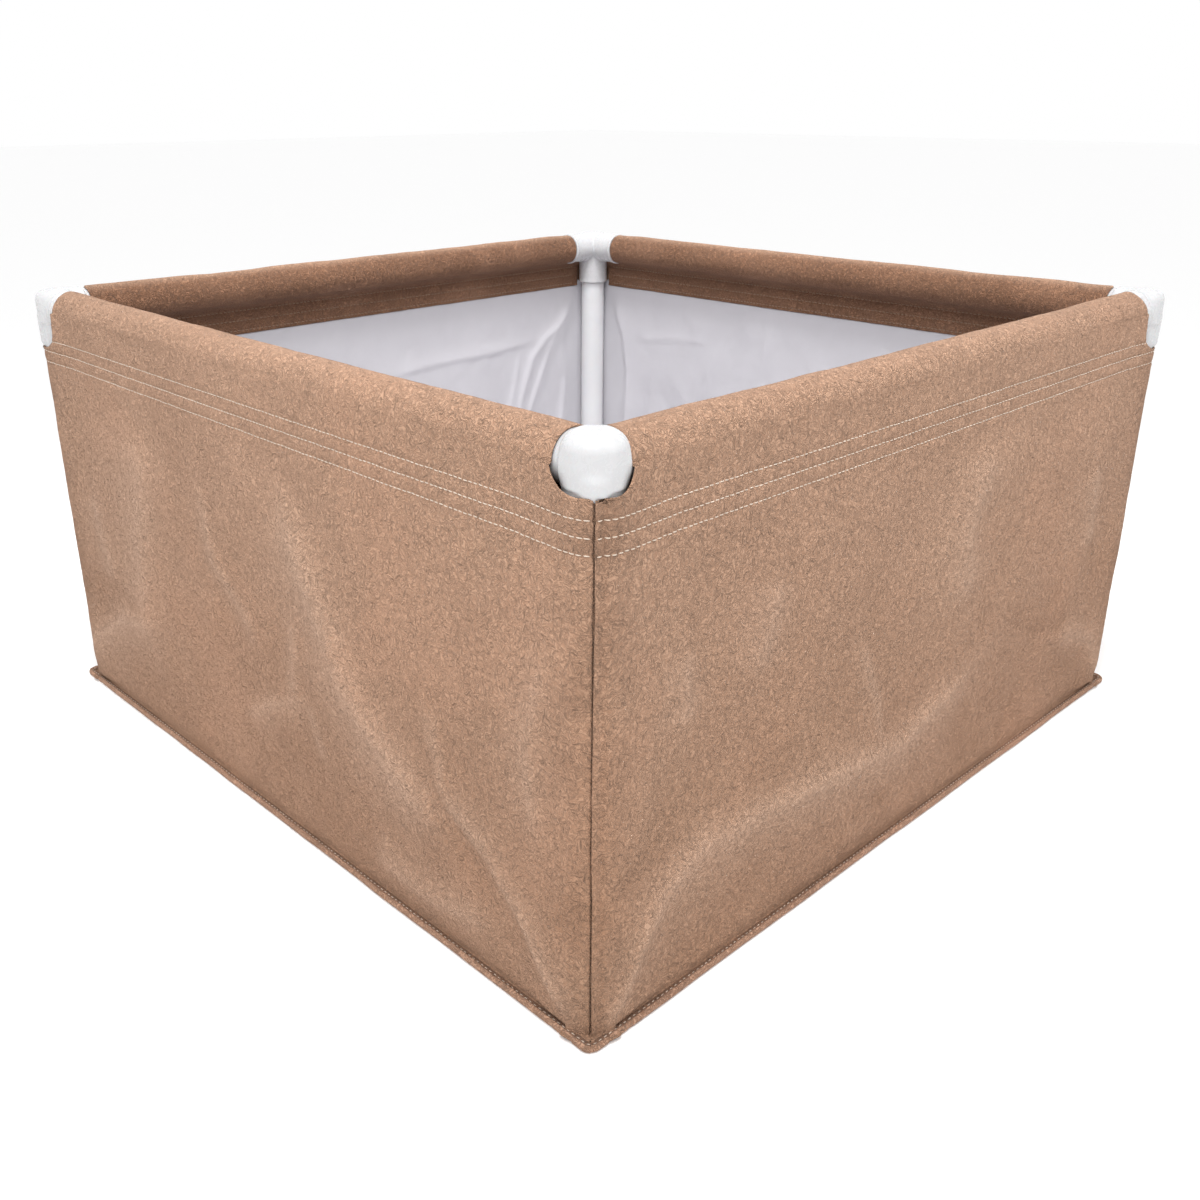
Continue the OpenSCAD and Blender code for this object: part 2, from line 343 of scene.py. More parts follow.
def profile():
    """Stations up the sheet: phase, coordinate, and u, z of the outer face at
    mid side. The foot lies in the welt, the wall rises, the sleeve goes round
    the rail and the hem comes down inside."""
    st = []
    zf = 3.75  # outer face of the foot
    for u in np.linspace(U_LOW + 4.6, U_LOW + FILLET, 5):
        st.append(("foot", 0.0, u, zf))
    for a in np.linspace(0, 90, 5)[1:]:
        a = math.radians(a)
        st.append(("foot", 0.0, U_LOW + FILLET - FILLET * math.sin(a), zf + FILLET - FILLET * math.cos(a)))
    zs = list(np.arange(zf + FILLET + 2.0, 20, 2.0)) + list(np.arange(20, ROWS[2] - 8, 4.0))
    zs += list(np.arange(ROWS[2] - 7.5, AXIS_Z - 32.4, 0.85))
    zs += [AXIS_Z - 31.9, AXIS_Z - 31.45]
    # close rows along the flat lower edges of the corner openings
    for lo_dz, hi_dz, dz_t, w_t, count in ((-31.3, -21.5, SIDE_DZ, SIDE_W, 26), (-13.25, 0.0, CUT_DZ, CUT_W, 30)):
        dense = np.linspace(lo_dz, hi_dz, 4001)
        wv = curve_at(dense, dz_t, w_t)
        run = np.concatenate([[0], np.cumsum(np.hypot(np.diff(dense), np.diff(wv)))])
        zs += list(AXIS_Z + np.interp(np.linspace(0, run[-1], count), run, dense))
        if lo_dz < -20:
            zs += list(np.arange(AXIS_Z - 20.9, AXIS_Z - 13.9, 0.95)) + [AXIS_Z - v for v in (14.1, 13.9, 13.7, 13.5, 13.35)]
    for z in zs:
        v = (z - zf) / (ROWS[0] - zf)
        if z <= ROWS[0]:
            u = U_LOW + (U_TOP - U_LOW) * v
        else:
            t = (z - ROWS[0]) / (AXIS_Z - ROWS[0])
            u = U_TOP + (RING_R - U_TOP) * smooth(t, 0.0, 1.0)
        st.append(("wall", z - AXIS_Z, u, z))
    r_in = RING_R
    a_end = 232.0
    for a in np.linspace(0, a_end, 84)[1:]:
        st.append(("ring", a, r_in * math.cos(math.radians(a)), AXIS_Z + r_in * math.sin(math.radians(a))))
    # inner run: leaves the ring tangentially and comes back to the wall
    a = math.radians(a_end)
    p0 = np.array([r_in * math.cos(a), AXIS_Z + r_in * math.sin(a)])
    t0 = np.array([-math.sin(a), math.cos(a)])
    p3 = np.array([U_TOP - 3.9, ROWS[0] + 0.5])
    t3 = np.array([0.25, -1.0])
    for t in np.linspace(0, 1, 17)[1:]:
        b = ((1 - t) ** 3) * p0 + 3 * t * (1 - t) ** 2 * (p0 + 6.5 * t0) + 3 * t * t * (1 - t) * (p3 - 7.0 * t3 / np.linalg.norm(t3)) + t**3 * p3
        st.append(("hem", b[1] - AXIS_Z, b[0], b[1]))
    for z in np.linspace(ROWS[0] - 0.6, HEM_Z, 20):
        st.append(("hem", z - AXIS_Z, U_TOP - 3.85 + 0.25 * smooth(z, ROWS[0], HEM_Z), z))
    return st


STATIONS = profile()
R_CORNER = dict(z=[0, 4, 14, 62, 80, 180, 275, 296, 312, 320, 330, 341], r=[21.6, 21.6, 21.5, 21.2, 20.9, 20.1, 18.4, 18.2, 18.5, 19.3, 19.4, 18.8])


def columns(n_mid=96):
    """Column coordinates of one half: 0 at mid side to the end of the turn."""
    a = np.linspace(-HALF, -60, n_mid // 2 + 1)
    b = np.linspace(-60, -14, 16)[1:]
    c = np.arange(-13, 0.01, 1.0)
    d = np.linspace(0, ARC, 15)[1:]
    e = ARC + np.linspace(0, TURN, 8)[1:]
    f = ARC + TURN + np.linspace(0, TAIL, 3)[1:]
    return np.concatenate([a, b, c, d, e, f])


def side_surface(k, relief, extra=None):
    """Outer grid of side k in side coordinates plus per-vertex notes."""
    left, right = CORNERS[k], CORNERS[(k + 1) % 4]  # -s end, +s end
    phase = np.array([{"foot": 0, "wall": 0, "ring": 1, "hem": 2}[p[0]] for p in STATIONS])
    is_foot = np.array([p[0] == "foot" for p in STATIONS])
    coord = np.array([p[1] for p in STATIONS])
    u0 = np.array([p[2] for p in STATIONS])
    z0 = np.array([p[3] for p in STATIONS])
    half_cols = columns()
    blocks = []
    for end, corner, kind in ((-1, left, 1), (1, right, 0)):
        full = half_cols[-1]
        lim = np.full(len(z0), full)
        for i, p in enumerate(STATIONS):
            if is_foot[i]:
                continue
            if phase[i] == 0 and coord[i] < LOWEST.get(corner, -31.3):
                continue
            lim[i] = float(cut_w(coord[i], phase[i], corner, end))
        # columns beyond the anchor slide so that the last one is on the edge
        anchor = -64.0
        w = half_cols[None, :]
        sc = (lim[:, None] - anchor) / (full - anchor)
        w = np.where(w > anchor, anchor + (w - anchor) * sc, w)
        uu = np.broadcast_to(u0[:, None], w.shape)
        zz = np.broadcast_to(z0[:, None], w.shape)
        rr = np.interp(zz, R_CORNER["z"], R_CORNER["r"])
        # the wall comes out (or in) to the corner radius near the post
        near = smooth(w, -46.0, -3.0)
        ph = phase[:, None]
        wall = (ph == 0) & (~is_foot[:, None])
        u = np.where(wall, uu + (rr - uu) * near, uu)
        # over a fitting's rim the sleeve is fuller
        if corner != "back_left":
            full_r = 1.0 + (16.1 / RING_R - 1.0) * smooth(w, -150.0, -48.0)
            in_ring = ph == 1
            a = np.radians(np.where(in_ring, coord[:, None], 0.0))
            u = np.where(in_ring, RING_R * full_r * np.cos(a), u)
            zz = np.where(in_ring, AXIS_Z + RING_R * full_r * np.sin(a), zz)
            t = smooth(zz, ROWS[0] + 2, AXIS_Z - 4)
            grow = RING_R * (full_r - 1) * t
            u = np.where(wall & (zz > ROWS[0]), np.maximum(u, uu + grow), u)
            hem = ph == 2
            v = smooth(zz, ROWS[0] + 2.0, AXIS_Z - 14.0)
            u = np.where(hem, u - RING_R * (full_r - 1) * v, u)
        s_p, u_p = plan(w, u, np.where(wall | is_foot[:, None], rr, 18.0), kind)
        # the foot runs out flat and is mitred at the corner
        if is_foot.any():
            f = is_foot[:, None]
            frac = np.clip(w / ARC, 0, 1)
            grow = np.maximum(u0[:, None] - U_LOW, 0.0)
            s_f = np.where(w <= 0, w, s_p + grow * np.sin(np.clip(w, 0, ARC) / ARC * math.pi / 4))
            u_f = np.where(w <= 0, u0[:, None], u_p + grow * np.cos(np.clip(w, 0, ARC) / ARC * math.pi / 4))
            s_p = np.where(f, s_f, s_p)
            u_p = np.where(f, u_f, u_p)
        blocks.append((end, end * (HALF + s_p), u_p, zz, end * (HALF + w)))
    (e0, s0, ua, za, w0), (e1, s1, ub, zb, w1) = blocks
    s = np.concatenate([s0[:, ::-1], s1[:, 1:]], 1)
    u = np.concatenate([ua[:, ::-1], ub[:, 1:]], 1)
    z = np.concatenate([za[:, ::-1], zb[:, 1:]], 1)
    w = np.concatenate([w0[:, ::-1], w1[:, 1:]], 1)
    g = np.stack([s, u, z], -1)
    n = grid_normals(g)
    # outer face looks outwards at mid wall
    i = int(np.argmin(np.abs(z0 - 150)))
    if n[i, n.shape[1] // 2, 1] < 0:
        n = -n
    rel = relief(w, z, phase[:, None], coord[:, None], is_foot[:, None], s)
    g = g + n * rel[..., None]
    fresh = grid_normals(g)
    fresh *= np.sign((fresh * n).sum(2, keepdims=True) + 1e-12)
    # the turned-in edges keep their smooth normals
    keep = (np.abs(w) > HALF + ARC - 3)[..., None]
    n = np.where(keep, n, fresh)
    return g, n, phase, coord, w
# ------------------------------------------------------------- folds and sag
FOLDS = {
    0: [  # front: (points, width, height, skew)
        ([(322, 4), (286, 58), (252, 89), (197, 122)], 5.0, 1.5, 0.5),
        ([(197, 170), (212, 112)], 3.0, 0.8, 0.5),
        ([(40, 275), (80, 202), (116, 146), (157, 116), (212, 82)], 14.0, 2.2, 0.35),
        ([(-70, 250), (-59, 192), (-20, 157), (-2, 134)], 4.0, 0.9, 0.6),
        ([(52, 185), (38, 110)], 4.5, 0.9, 0.5),
        ([(-36, 72), (10, 100), (58, 121)], 6.0, 0.9, 0.4),
        ([(58, 121), (76, 78)], 4.0, 0.7, 0.4),
        ([(-322, 20), (-302, 47), (-228, 92), (-150, 108)], 11.0, 1.8, 0.5),
        ([(-150, 270), (-178, 170), (-190, 90)], 18.0, 1.6, 0.3),
        ([(-260, 200), (-240, 120)], 12.0, 1.0, 0.3),
        ([(255, 40), (180, 26), (120, 30)], 9.0, 0.8, 0.3),
        ([(300, 240), (286, 180), (292, 120)], 6.0, 0.8, 0.4),
    ],
    1: [
        ([(-322, 6), (-290, 70), (-246, 95), (-147, 92), (-26, 78), (97, 112)], 11.0, 1.9, 0.4),
        ([(-322, 4), (-301, 50), (-282, 82)], 4.5, 1.2, 0.5),
        ([(-92, 182), (-59, 123), (-51, 84)], 3.4, 0.8, 0.6),
        ([(-59, 48), (-38, 40)], 5.0, -1.0, 0.0),
        ([(-330, 203), (-312, 192)], 3.0, -0.7, 0.0),
        ([(-262, 230), (-256, 180)], 7.0, 0.9, 0.3),
        ([(122, 128), (192, 96), (236, 90)], 6.0, -1.1, 0.0),
        ([(322, 12), (280, 60), (214, 84)], 7.0, 1.2, 0.5),
        ([(60, 280), (40, 220), (52, 160)], 15.0, 1.1, 0.3),
        ([(240, 230), (252, 150)], 11.0, 1.0, 0.3),
        ([(-180, 250), (-196, 190)], 10.0, 0.8, 0.3),
    ],
    2: [
        ([(-320, 8), (-270, 60), (-200, 96)], 6.0, 1.4, 0.5),
        ([(320, 8), (276, 66), (222, 88), (120, 96)], 8.0, 1.5, 0.5),
        ([(-60, 270), (-40, 190), (-64, 110)], 13.0, 1.5, 0.3),
        ([(120, 250), (150, 170), (138, 110)], 8.0, 1.1, 0.4),
        ([(-210, 220), (-180, 150)], 7.0, 0.9, 0.4),
        ([(10, 60), (60, 84), (96, 70)], 7.0, 0.9, 0.4),
    ],
    3: [
        ([(-320, 8), (-280, 66), (-214, 100), (-120, 90)], 8.0, 1.6, 0.5),
        ([(320, 8), (284, 54), (238, 80)], 6.0, 1.3, 0.5),
        ([(30, 270), (12, 190), (44, 120)], 12.0, 1.4, 0.3),
        ([(-120, 240), (-142, 150)], 8.0, 1.0, 0.4),
        ([(200, 220), (180, 150)], 9.0, 1.0, 0.4),
        ([(-20, 56), (50, 70), (110, 52)], 7.0, 0.9, 0.4),
    ],
}


def wall_body(k, w, z):
    """The wall's folds and belly, faded to the sewn rows, the foot and the
    corners, where the cloth lies tight round the posts."""
    fade = smooth(z, 5.5, 26) * smooth(z, ROWS[2] + 2, ROWS[2] - 40)
    edge = smooth(np.abs(w), HALF + 15, HALF - 8)
    body = np.zeros(np.shape(w))
    for pts, width, height, skew in FOLDS[k]:
        body += fold(w, z, pts, 1.15 * width, 3.0 * height, skew)
    body += 2.6 * noise2(w, z * 0.8, 11 + k, 118.0)
    body += 1.1 * noise2(w * 1.1 + z * 0.3, z - w * 0.2, 31 + k, 41.0)
    body += 0.30 * noise2(w, z, 51 + k, 16.0)
    # the wall bellies a little between the frame's top and base
    body += 1.6 * np.sin(np.pi * np.clip(z / ROWS[2], 0, 1)) * smooth(np.abs(w), HALF, 120)
    body *= fade * (0.25 + 0.75 * edge)
    # nothing sinks in beside a post
    return np.where(body < 0, body * smooth(np.abs(w), HALF - 10, HALF - 75), body)


def relief_of(k):
    """How the cloth of side k stands off its smooth shape."""

    def relief(w, z, phase, coord, foot, s):
        phase = np.broadcast_to(phase, w.shape)
        foot = np.broadcast_to(foot, w.shape)
        coord = np.broadcast_to(coord, w.shape)
        r = np.zeros(w.shape)
        wall = (phase == 0) & ~foot
        r = np.where(wall, wall_body(k, w, z), 0.0)
        # fine unevenness everywhere, and a slack strip between the stitch rows
        r = r + np.where(foot, 0, 0.10 * noise2(w, z + coord, 71 + k, 7.0) + 0.16 * noise2(w, z + coord * 0.4, 91 + k, 24.0))
        for row in ROWS:
            dip = -0.55 * np.exp(-(((z - row) / 1.5) ** 2))
            r = r + np.where((phase == 0) | (phase == 2), dip, 0.0)
            pucker = 0.16 * np.sin(w * 2 * math.pi / 4.15) * np.exp(-(((z - row) / 1.6) ** 2))
            r = r + np.where((phase == 0) | (phase == 2), pucker, 0.0)
        strip = (z < ROWS[0] + 3) & (z > HEM_Z)
        r = r + np.where(((phase == 0) | (phase == 2)) & strip, 0.28 * noise2(w, z * 2.0, 17 + k, 19.0), 0)
        # shallow drag lines that run down from the sleeve
        tug = 0.5 * noise2(w * 1.0, z * 0.16, 131 + k, 13.0) * smooth(z, ROWS[2] - 60, ROWS[2] - 6) * smooth(z, ROWS[2] + 1, ROWS[2] - 3)
        r = r + np.where(wall, tug, 0.0)
        # sleeve: long soft waves along the rail
        ring = (phase == 1)
        r = r + np.where(ring, 0.42 * noise2(w, coord * 0.42, 151 + k, 34.0) + 0.10 * noise2(w * 1.2, coord * 0.3, 171 + k, 10.0), 0)
        # small tucks where the wall runs into the welt
        tuck = 0.35 * noise2(w, z * 0.3, 191 + k, 9.0) * smooth(z, 24, 8)
        r = r + np.where(wall, tuck, 0.0)
        return r

    return relief


def build_panel(k, material):
    g, n, phase, coord, w = side_surface(k, relief_of(k))
    r, c = g.shape[:2]
    # thinner at the turned-in edges, which nest inside the corner
    cols = np.abs(w) - HALF
    thick = 1.3 - 0.75 * smooth(cols, ARC - 1.0, ARC + 1.0)
    # the hem and the wall lie face to face
    co, faces, depth, loop = shell(g, thick, n)
    wd = world(k, co[:, 0], co[:, 1], co[:, 2])
    ob = make_object(f"side_panel_cloth_{SIDES[k]}", wd, faces, material)
    ph = np.repeat(phase, c)
    cd = np.repeat(coord, c)
    # painted shade: 1 inside the sleeve and on the hem, which the cloth material colours darker as if in shade
    inside_shade = np.where(ph == 1, smooth(cd, 90, 140), np.where(ph == 2, 1.0, 0.0))
    inner = inside_shade.copy()
    rim = inside_shade[loop]
    paint(ob, "inside", np.concatenate([inside_shade, inner, rim]))
    # nearness to the vertical seams, for the painted shade that darkens the wall at the corners
    sd = np.abs(w).reshape(-1)
    seam = smooth(sd, HALF - 26, HALF + 10) * np.where(ph == 0, 1.0, 0.0)
    paint(ob, "seam", np.concatenate([seam, seam, seam[loop]]))
    # painted highlight: how near each point is to the crest of a fold
    crest = np.zeros(w.shape)
    for pts, width, height, skew in FOLDS[k]:
        if height > 0:
            crest = np.maximum(crest, fold(w, g[..., 2], pts, 1.5 * width, 0.55 + 0.25 * height, skew * 0.5))
    crest = np.clip(crest, 0, 1).reshape(-1) * np.where(ph == 0, 1.0, 0.0) * smooth(g[..., 2].reshape(-1), ROWS[2], ROWS[2] - 30)
    paint(ob, "crest", np.concatenate([crest, crest, crest[loop]]))
    # painted shade: 1 at the foot of the wall, fading to 0 near its top
    low = smooth(g[..., 2].reshape(-1), 300, 30) * np.where(ph == 0, 1.0, 0.0)
    paint(ob, "low", np.concatenate([low, low, low[loop]]))
    fix_normals(ob)
    settle(ob, "outer_fabric", f"side_panel_{SIDES[k]}")
    return ob, g, n, phase, coord, w


# ------------------------------------------------------------- lining
LINING_FOLDS = {
    3: [
        ([(-17, 229), (-91, 234), (-152, 234), (-239, 239)], 2.2, 1.3, 0.9),
        ([(-152, 246), (-158, 233), (-147, 215)], 2.2, 1.0, 0.6),
        ([(-177, 242), (-175, 229)], 2.0, 0.8, 0.5),
        ([(-306, 292), (-271, 255), (-247, 240), (-226, 220), (-206, 170), (-190, 110), (-186, 60)], 4.2, 3.0, 0.8),
        ([(-262, 244), (-246, 211), (-221, 161), (-208, 110), (-206, 50)], 3.2, 2.2, 0.7),
        ([(-209, 232), (-200, 194), (-184, 150), (-168, 90)], 2.8, 1.6, 0.6),
        ([(-282, 200), (-272, 120), (-276, 40)], 5.5, 2.4, 0.4),
        ([(39, 289), (31, 248), (36, 200)], 5.0, 1.2, 0.4),
        ([(130, 285), (110, 220), (124, 150)], 7.0, 1.6, 0.4),
        ([(-100, 180), (-60, 120), (-80, 60)], 6.0, 1.6, 0.5),
        ([(220, 270), (236, 190), (222, 90)], 7.0, 1.9, 0.4),
    ],
    2: [
        ([(303, 292), (288, 270), (275, 242), (267, 196), (270, 130), (262, 60)], 5.0, 3.0, 0.7),
        ([(255, 239), (200, 246), (149, 250)], 3.0, 0.9, 0.5),
        ([(140, 246), (144, 215), (149, 185)], 2.6, 1.0, 0.6),
        ([(182, 286), (164, 255)], 4.0, 1.0, 0.4),
        ([(60, 285), (76, 220), (62, 150)], 7.0, 1.5, 0.4),
        ([(-80, 280), (-60, 200), (-84, 110)], 8.0, 1.8, 0.4),
        ([(-220, 280), (-240, 190), (-222, 80)], 8.0, 2.0, 0.4),
        ([(-20, 100), (60, 86), (130, 100)], 6.0, 1.4, 0.4),
    ],
    0: [
        ([(-290, 290), (-262, 200), (-270, 80)], 7.0, 2.6, 0.5),
        ([(290, 290), (268, 210), (262, 90)], 7.0, 2.6, 0.5),
        ([(-80, 285), (-60, 200), (-76, 110)], 8.0, 1.9, 0.4),
        ([(110, 285), (90, 190), (112, 90)], 8.0, 1.7, 0.4),
        ([(-180, 120), (-80, 98), (10, 116)], 6.0, 1.5, 0.4),
    ],
    1: [
        ([(-290, 290), (-268, 200), (-262, 80)], 7.0, 2.6, 0.5),
        ([(290, 290), (262, 210), (270, 90)], 7.0, 2.6, 0.5),
        ([(-120, 285), (-100, 190), (-118, 100)], 8.0, 1.8, 0.4),
        ([(60, 285), (86, 200), (70, 100)], 8.0, 1.8, 0.4),
        ([(-20, 90), (80, 110), (180, 92)], 6.0, 1.5, 0.4),
    ],
}


def build_lining(k, material):
    """A thin sheet that hangs inside the wall from the stitch rows to the base."""
    sw = HALF + 8.4
    s = np.concatenate([np.linspace(-sw, -180, 60), np.linspace(-180, 180, 72)[1:-1], np.linspace(180, sw, 60)])
    z = np.concatenate([np.linspace(5.4, 14, 5), np.linspace(16, 300, 96), np.linspace(303, ROWS[0] - 1.5, 7)])
    ss, zz = np.meshgrid(s, z)
    # the top edge drops beside the posts
    low = 15.0 * smooth(np.abs(ss), HALF - 34, HALF - 8)
    zz = np.where(zz > 270, 270 + (zz - 270) * (1 - low / (ROWS[0] - 271.5)), zz)
    v = np.clip((zz - 5) / (ROWS[0] - 5), 0, 1)
    wall = U_LOW + (U_TOP - U_LOW) * v - 1.75 + 0.2 * smooth(zz, HEM_Z - 6, HEM_Z + 2)
    u = wall
    pull = smooth(np.abs(ss), HALF - 36, HALF - 12)
    # beside a post the lining lies against the wall's wrap, outside the pipe
    rp = np.interp(zz, R_CORNER["z"], R_CORNER["r"]) - 1.85
    corner = np.sqrt(np.maximum(rp**2 - np.maximum(np.abs(ss) - HALF, 0) ** 2, 1.0))
    u = np.where(np.abs(ss) > HALF, corner, wall + (np.minimum(rp, wall) - wall) * pull)
    amp = smooth(zz, 6, 34) * smooth(zz, HEM_Z - 1, HEM_Z - 34) * smooth(np.abs(ss), HALF - 12, HALF - 40)
    f = np.zeros(ss.shape)
    for pts, width, height, skew in LINING_FOLDS[k]:
        f += fold(ss, zz, pts, 1.3 * width, 1.25 * height, skew)
    f += 1.1 * np.abs(noise2(ss, zz * 0.55, 211 + k, 58.0)) + 0.9 * (noise2(ss * 1.2, zz * 0.5, 231 + k, 27.0) + 0.4)
    f += 0.35 * noise2(ss, zz * 0.7, 251 + k, 11.0)
    f += 1.2
    # it lies against the wall, follows its belly in, and hangs free of dents
    body = wall_body(k, ss, zz)
    u = u - np.maximum(np.clip(f, 0.0, 7.5) * amp, np.maximum(-body, 0.0) + 0.1) + 0.1
    base_turn = 2.6 * smooth(zz, 12.0, 5.4) ** 2
    u = u - base_turn
    g = np.stack([ss, u, zz], -1)
    n = grid_normals(g)
    if n[50, 90, 1] < 0:
        n = -n
    co, faces, depth, loop = shell(g, 0.45, n)
    ob = make_object(f"lining_cloth_{SIDES[k]}", world(k, co[:, 0], co[:, 1], co[:, 2]), faces, material)
    fix_normals(ob)
    settle(ob, "lining_fabric", f"lining_{SIDES[k]}")
    return ob


def build_base(outer_mat, lining_mat):
    """The base cloth, flat on the ground with its edge raised into the welt,
    and the base lining that lies on it under the bottom rails."""
    e = HALF + U_EDGE - 3.1
    a = np.concatenate([np.linspace(-e, -e + 12, 13), np.linspace(-e + 14, -e + 40, 9), np.linspace(-e + 48, e - 48, 96), np.linspace(e - 40, e - 14, 9), np.linspace(e - 12, e, 13)])
    x, y = np.meshgrid(a, a)
    edge = e - np.maximum(np.abs(x), np.abs(y))
    z = 0.30 + 0.85 * smooth(edge, 8.0, 4.0) + 0.28 * (noise2(x, y, 301, 44.0) + 1) * smooth(edge, 6, 30)
    rad = np.minimum(e - np.abs(x), e - np.abs(y))
    # rounded corners
    rr = 7.0
    cx, cy = np.maximum(np.abs(x) - (e - rr), 0), np.maximum(np.abs(y) - (e - rr), 0)
    d = np.hypot(cx, cy)
    m = np.maximum(cx, cy)
    k = np.where(d > 1e-9, m / np.maximum(d, 1e-9), 1.0)
    x = np.sign(x) * np.where((cx > 0) & (cy > 0), e - rr + cx * k, np.abs(x))
    y = np.sign(y) * np.where((cx > 0) & (cy > 0), e - rr + cy * k, np.abs(y))
    g = np.stack([x, y, z], -1)
    n = grid_normals(g)
    if n[60, 60, 2] > 0:
        n = -n
    # the grid is the underside; the sheet builds upwards from it
    co, faces, depth, loop = shell(g, 1.0, n)
    ob = make_object("base_cloth", co, faces, outer_mat)
    # painted shade: the whole base cloth is coloured 0.35 of the way to the darker inside colours
    paint(ob, "inside", np.full(len(co), 0.35))
    paint(ob, "seam", np.zeros(len(co)))
    fix_normals(ob)
    settle(ob, "outer_fabric", "base_panel")
    i = HALF + 15.0
    a = np.concatenate([np.linspace(-i, -i + 40, 18), np.linspace(-i + 44, i - 44, 120), np.linspace(i - 40, i, 18)])
    x, y = np.meshgrid(a, a)
    edge = i - np.maximum(np.abs(x), np.abs(y))
    f = 1.2 * np.abs(noise2(x, y, 321, 70.0)) + 0.5 * (noise2(x * 1.1 + y * 0.4, y, 331, 30.0) + 0.6)
    for pts, width, height in (
        ([(-250, -240), (-60, -40), (120, 90)], 4.0, 1.6), ([(240, -200), (120, 20), (150, 220)], 4.0, 1.4),
        ([(-220, 140), (-40, 170), (110, 240)], 3.5, 1.3), ([(-200, 20), (-150, 60)], 3.0, 1.2),
        ([(0, -250), (20, -120)], 3.5, 1.2),
    ):
        f = f + fold(x, y, pts, width, height, 0.4)
    z = 2.5 + 0.9 * smooth(edge, 6, 0) + f * smooth(edge, 40, 90)
    g = np.stack([x, y, z], -1)
    n = grid_normals(g)
    if n[60, 60, 2] < 0:
        n = -n
    co, faces, depth, loop = shell(g, 0.45, n)
    lo = make_object("base_lining_cloth", co, faces, lining_mat)
    fix_normals(lo)
    settle(lo, "lining_fabric", "base_lining")
    return ob, lo


# ------------------------------------------------------------- welt
def build_binding(k, material):
    """The folded tape of side k: a plump roll round the raised edges of foot
    and base, with a sewn valley beside the wall, and half of each corner."""
    # cross-section as (u, z), the visible upper lip first
    inner, outer = U_LOW + 0.55, U_EDGE - 1.7
    mid = (inner + outer) / 2
    sec = []
    pts = [
        (inner, 3.95), (inner + 0.5, 4.30), (inner + 1.3, 4.28), (inner + 2.1, 4.16), (inner + 2.9, 4.62),
        (inner + 3.9, 5.12), (outer - 2.0, 5.10), (outer - 0.9, 4.55), (outer - 0.22, 3.55), (outer, 2.55),
        (outer - 0.15, 1.5), (outer - 0.75, 0.62), (outer - 1.9, 0.12), (outer - 3.4, 0.05), (inner + 1.6, 0.06), (inner + 0.2, 0.08),
    ]
    pts = np.array(pts)
    # resample evenly
    d = np.concatenate([[0], np.cumsum(np.linalg.norm(np.diff(pts, axis=0), axis=1))])
    t = np.linspace(0, d[-1], 34)
    sec = np.stack([curve_at(t, d, pts[:, 0]), curve_at(t, d, pts[:, 1])], 1)
    rc = 2.6  # plan radius of the inner lip at a corner
    straight = np.linspace(-(HALF + inner - rc), HALF + inner - rc, 380)
    th = np.linspace(0, math.pi / 4, 12)[1:]
    rows = []
    notes = []
    c0 = HALF + inner - rc
    q_mid = np.concatenate([-(c0 + th[::-1] * 8.0), straight, c0 + th * 8.0])
    for q in q_mid:
        off = sec[:, 0] - inner
        lumps = 0.30 * noise2(np.full(len(off), q), sec[:, 1] * 2, 401 + k, 9.0) + 0.22 * noise2(np.full(len(off), q), sec[:, 1], 421 + k, 27.0)
        roll = smooth(off, 1.6, 4.0)
        top = smooth(sec[:, 1], 2.6, 4.2)
        dz = lumps * roll * top * 1.3
        # tucks near the corners
        near = c0 - abs(q)
        tuck = 0.75 * (np.exp(-(((near - 9) / 1.3) ** 2)) + 0.8 * np.exp(-(((near - 15.5) / 1.6) ** 2)) + 0.5 * np.exp(-(((near - 25) / 1.8) ** 2)))
        dz = dz - tuck * roll * top
        du = -tuck * 0.8 * roll + 0.35 * noise2(np.array([q]), np.array([0.0]), 441 + k, 34.0)[0] * roll
        uo = np.clip(off + du, 0, None)
        z = np.maximum(sec[:, 1] + dz, 0.05)
        if abs(q) <= c0:
            s = np.full(len(off), q)
            u = inner + uo
        else:
            a = (abs(q) - c0) / 8.0
            rr = rc + uo
            # a full corner: tighter outside so that it reads as rounded
            s = np.sign(q) * (c0 + rr * math.sin(a))
            u = inner - rc + rr * math.cos(a)
        rows.append(np.stack([s, u, z], -1))
    g = np.array(rows)
    n = grid_normals(g)
    if n[200, 5, 2] < 0:
        n = -n
    co, faces, depth, loop = shell(g, 0.62, n)
    co[:, 2] = np.maximum(co[:, 2], 0.02)
    ob = make_object(f"base_binding_tape_{SIDES[k]}", world(k, co[:, 0], co[:, 1], co[:, 2]), faces, material)
    # painted shade: 1 in the sewn valley, which is coloured darker as a shaded crease
    off = np.tile(sec[:, 0] - inner, len(q_mid))
    zz = np.tile(sec[:, 1], len(q_mid))
    crease_shade = smooth(off, 3.3, 1.9) * (zz > 3.4)
    paint(ob, "inside", np.concatenate([crease_shade, crease_shade, crease_shade[loop]]))
    paint(ob, "seam", np.zeros(len(co)))
    fix_normals(ob)
    settle(ob, "binding_fabric", f"base_binding_{SIDES[k]}")
    length = 2 * (c0 + 8.0 * math.pi / 4)
    # the sewn line in the valley, in frame coordinates, running from -s to +s
    j = int(np.argmin(np.abs(sec[:, 0] - inner - 2.1) + (sec[:, 1] < 3.5) * 99))
    tip = world(k, *(g[:, j] + n[:, j]).T)
    root = world(k, *g[:, j].T)
    return ob, d[-1], length, (root, tip - root)
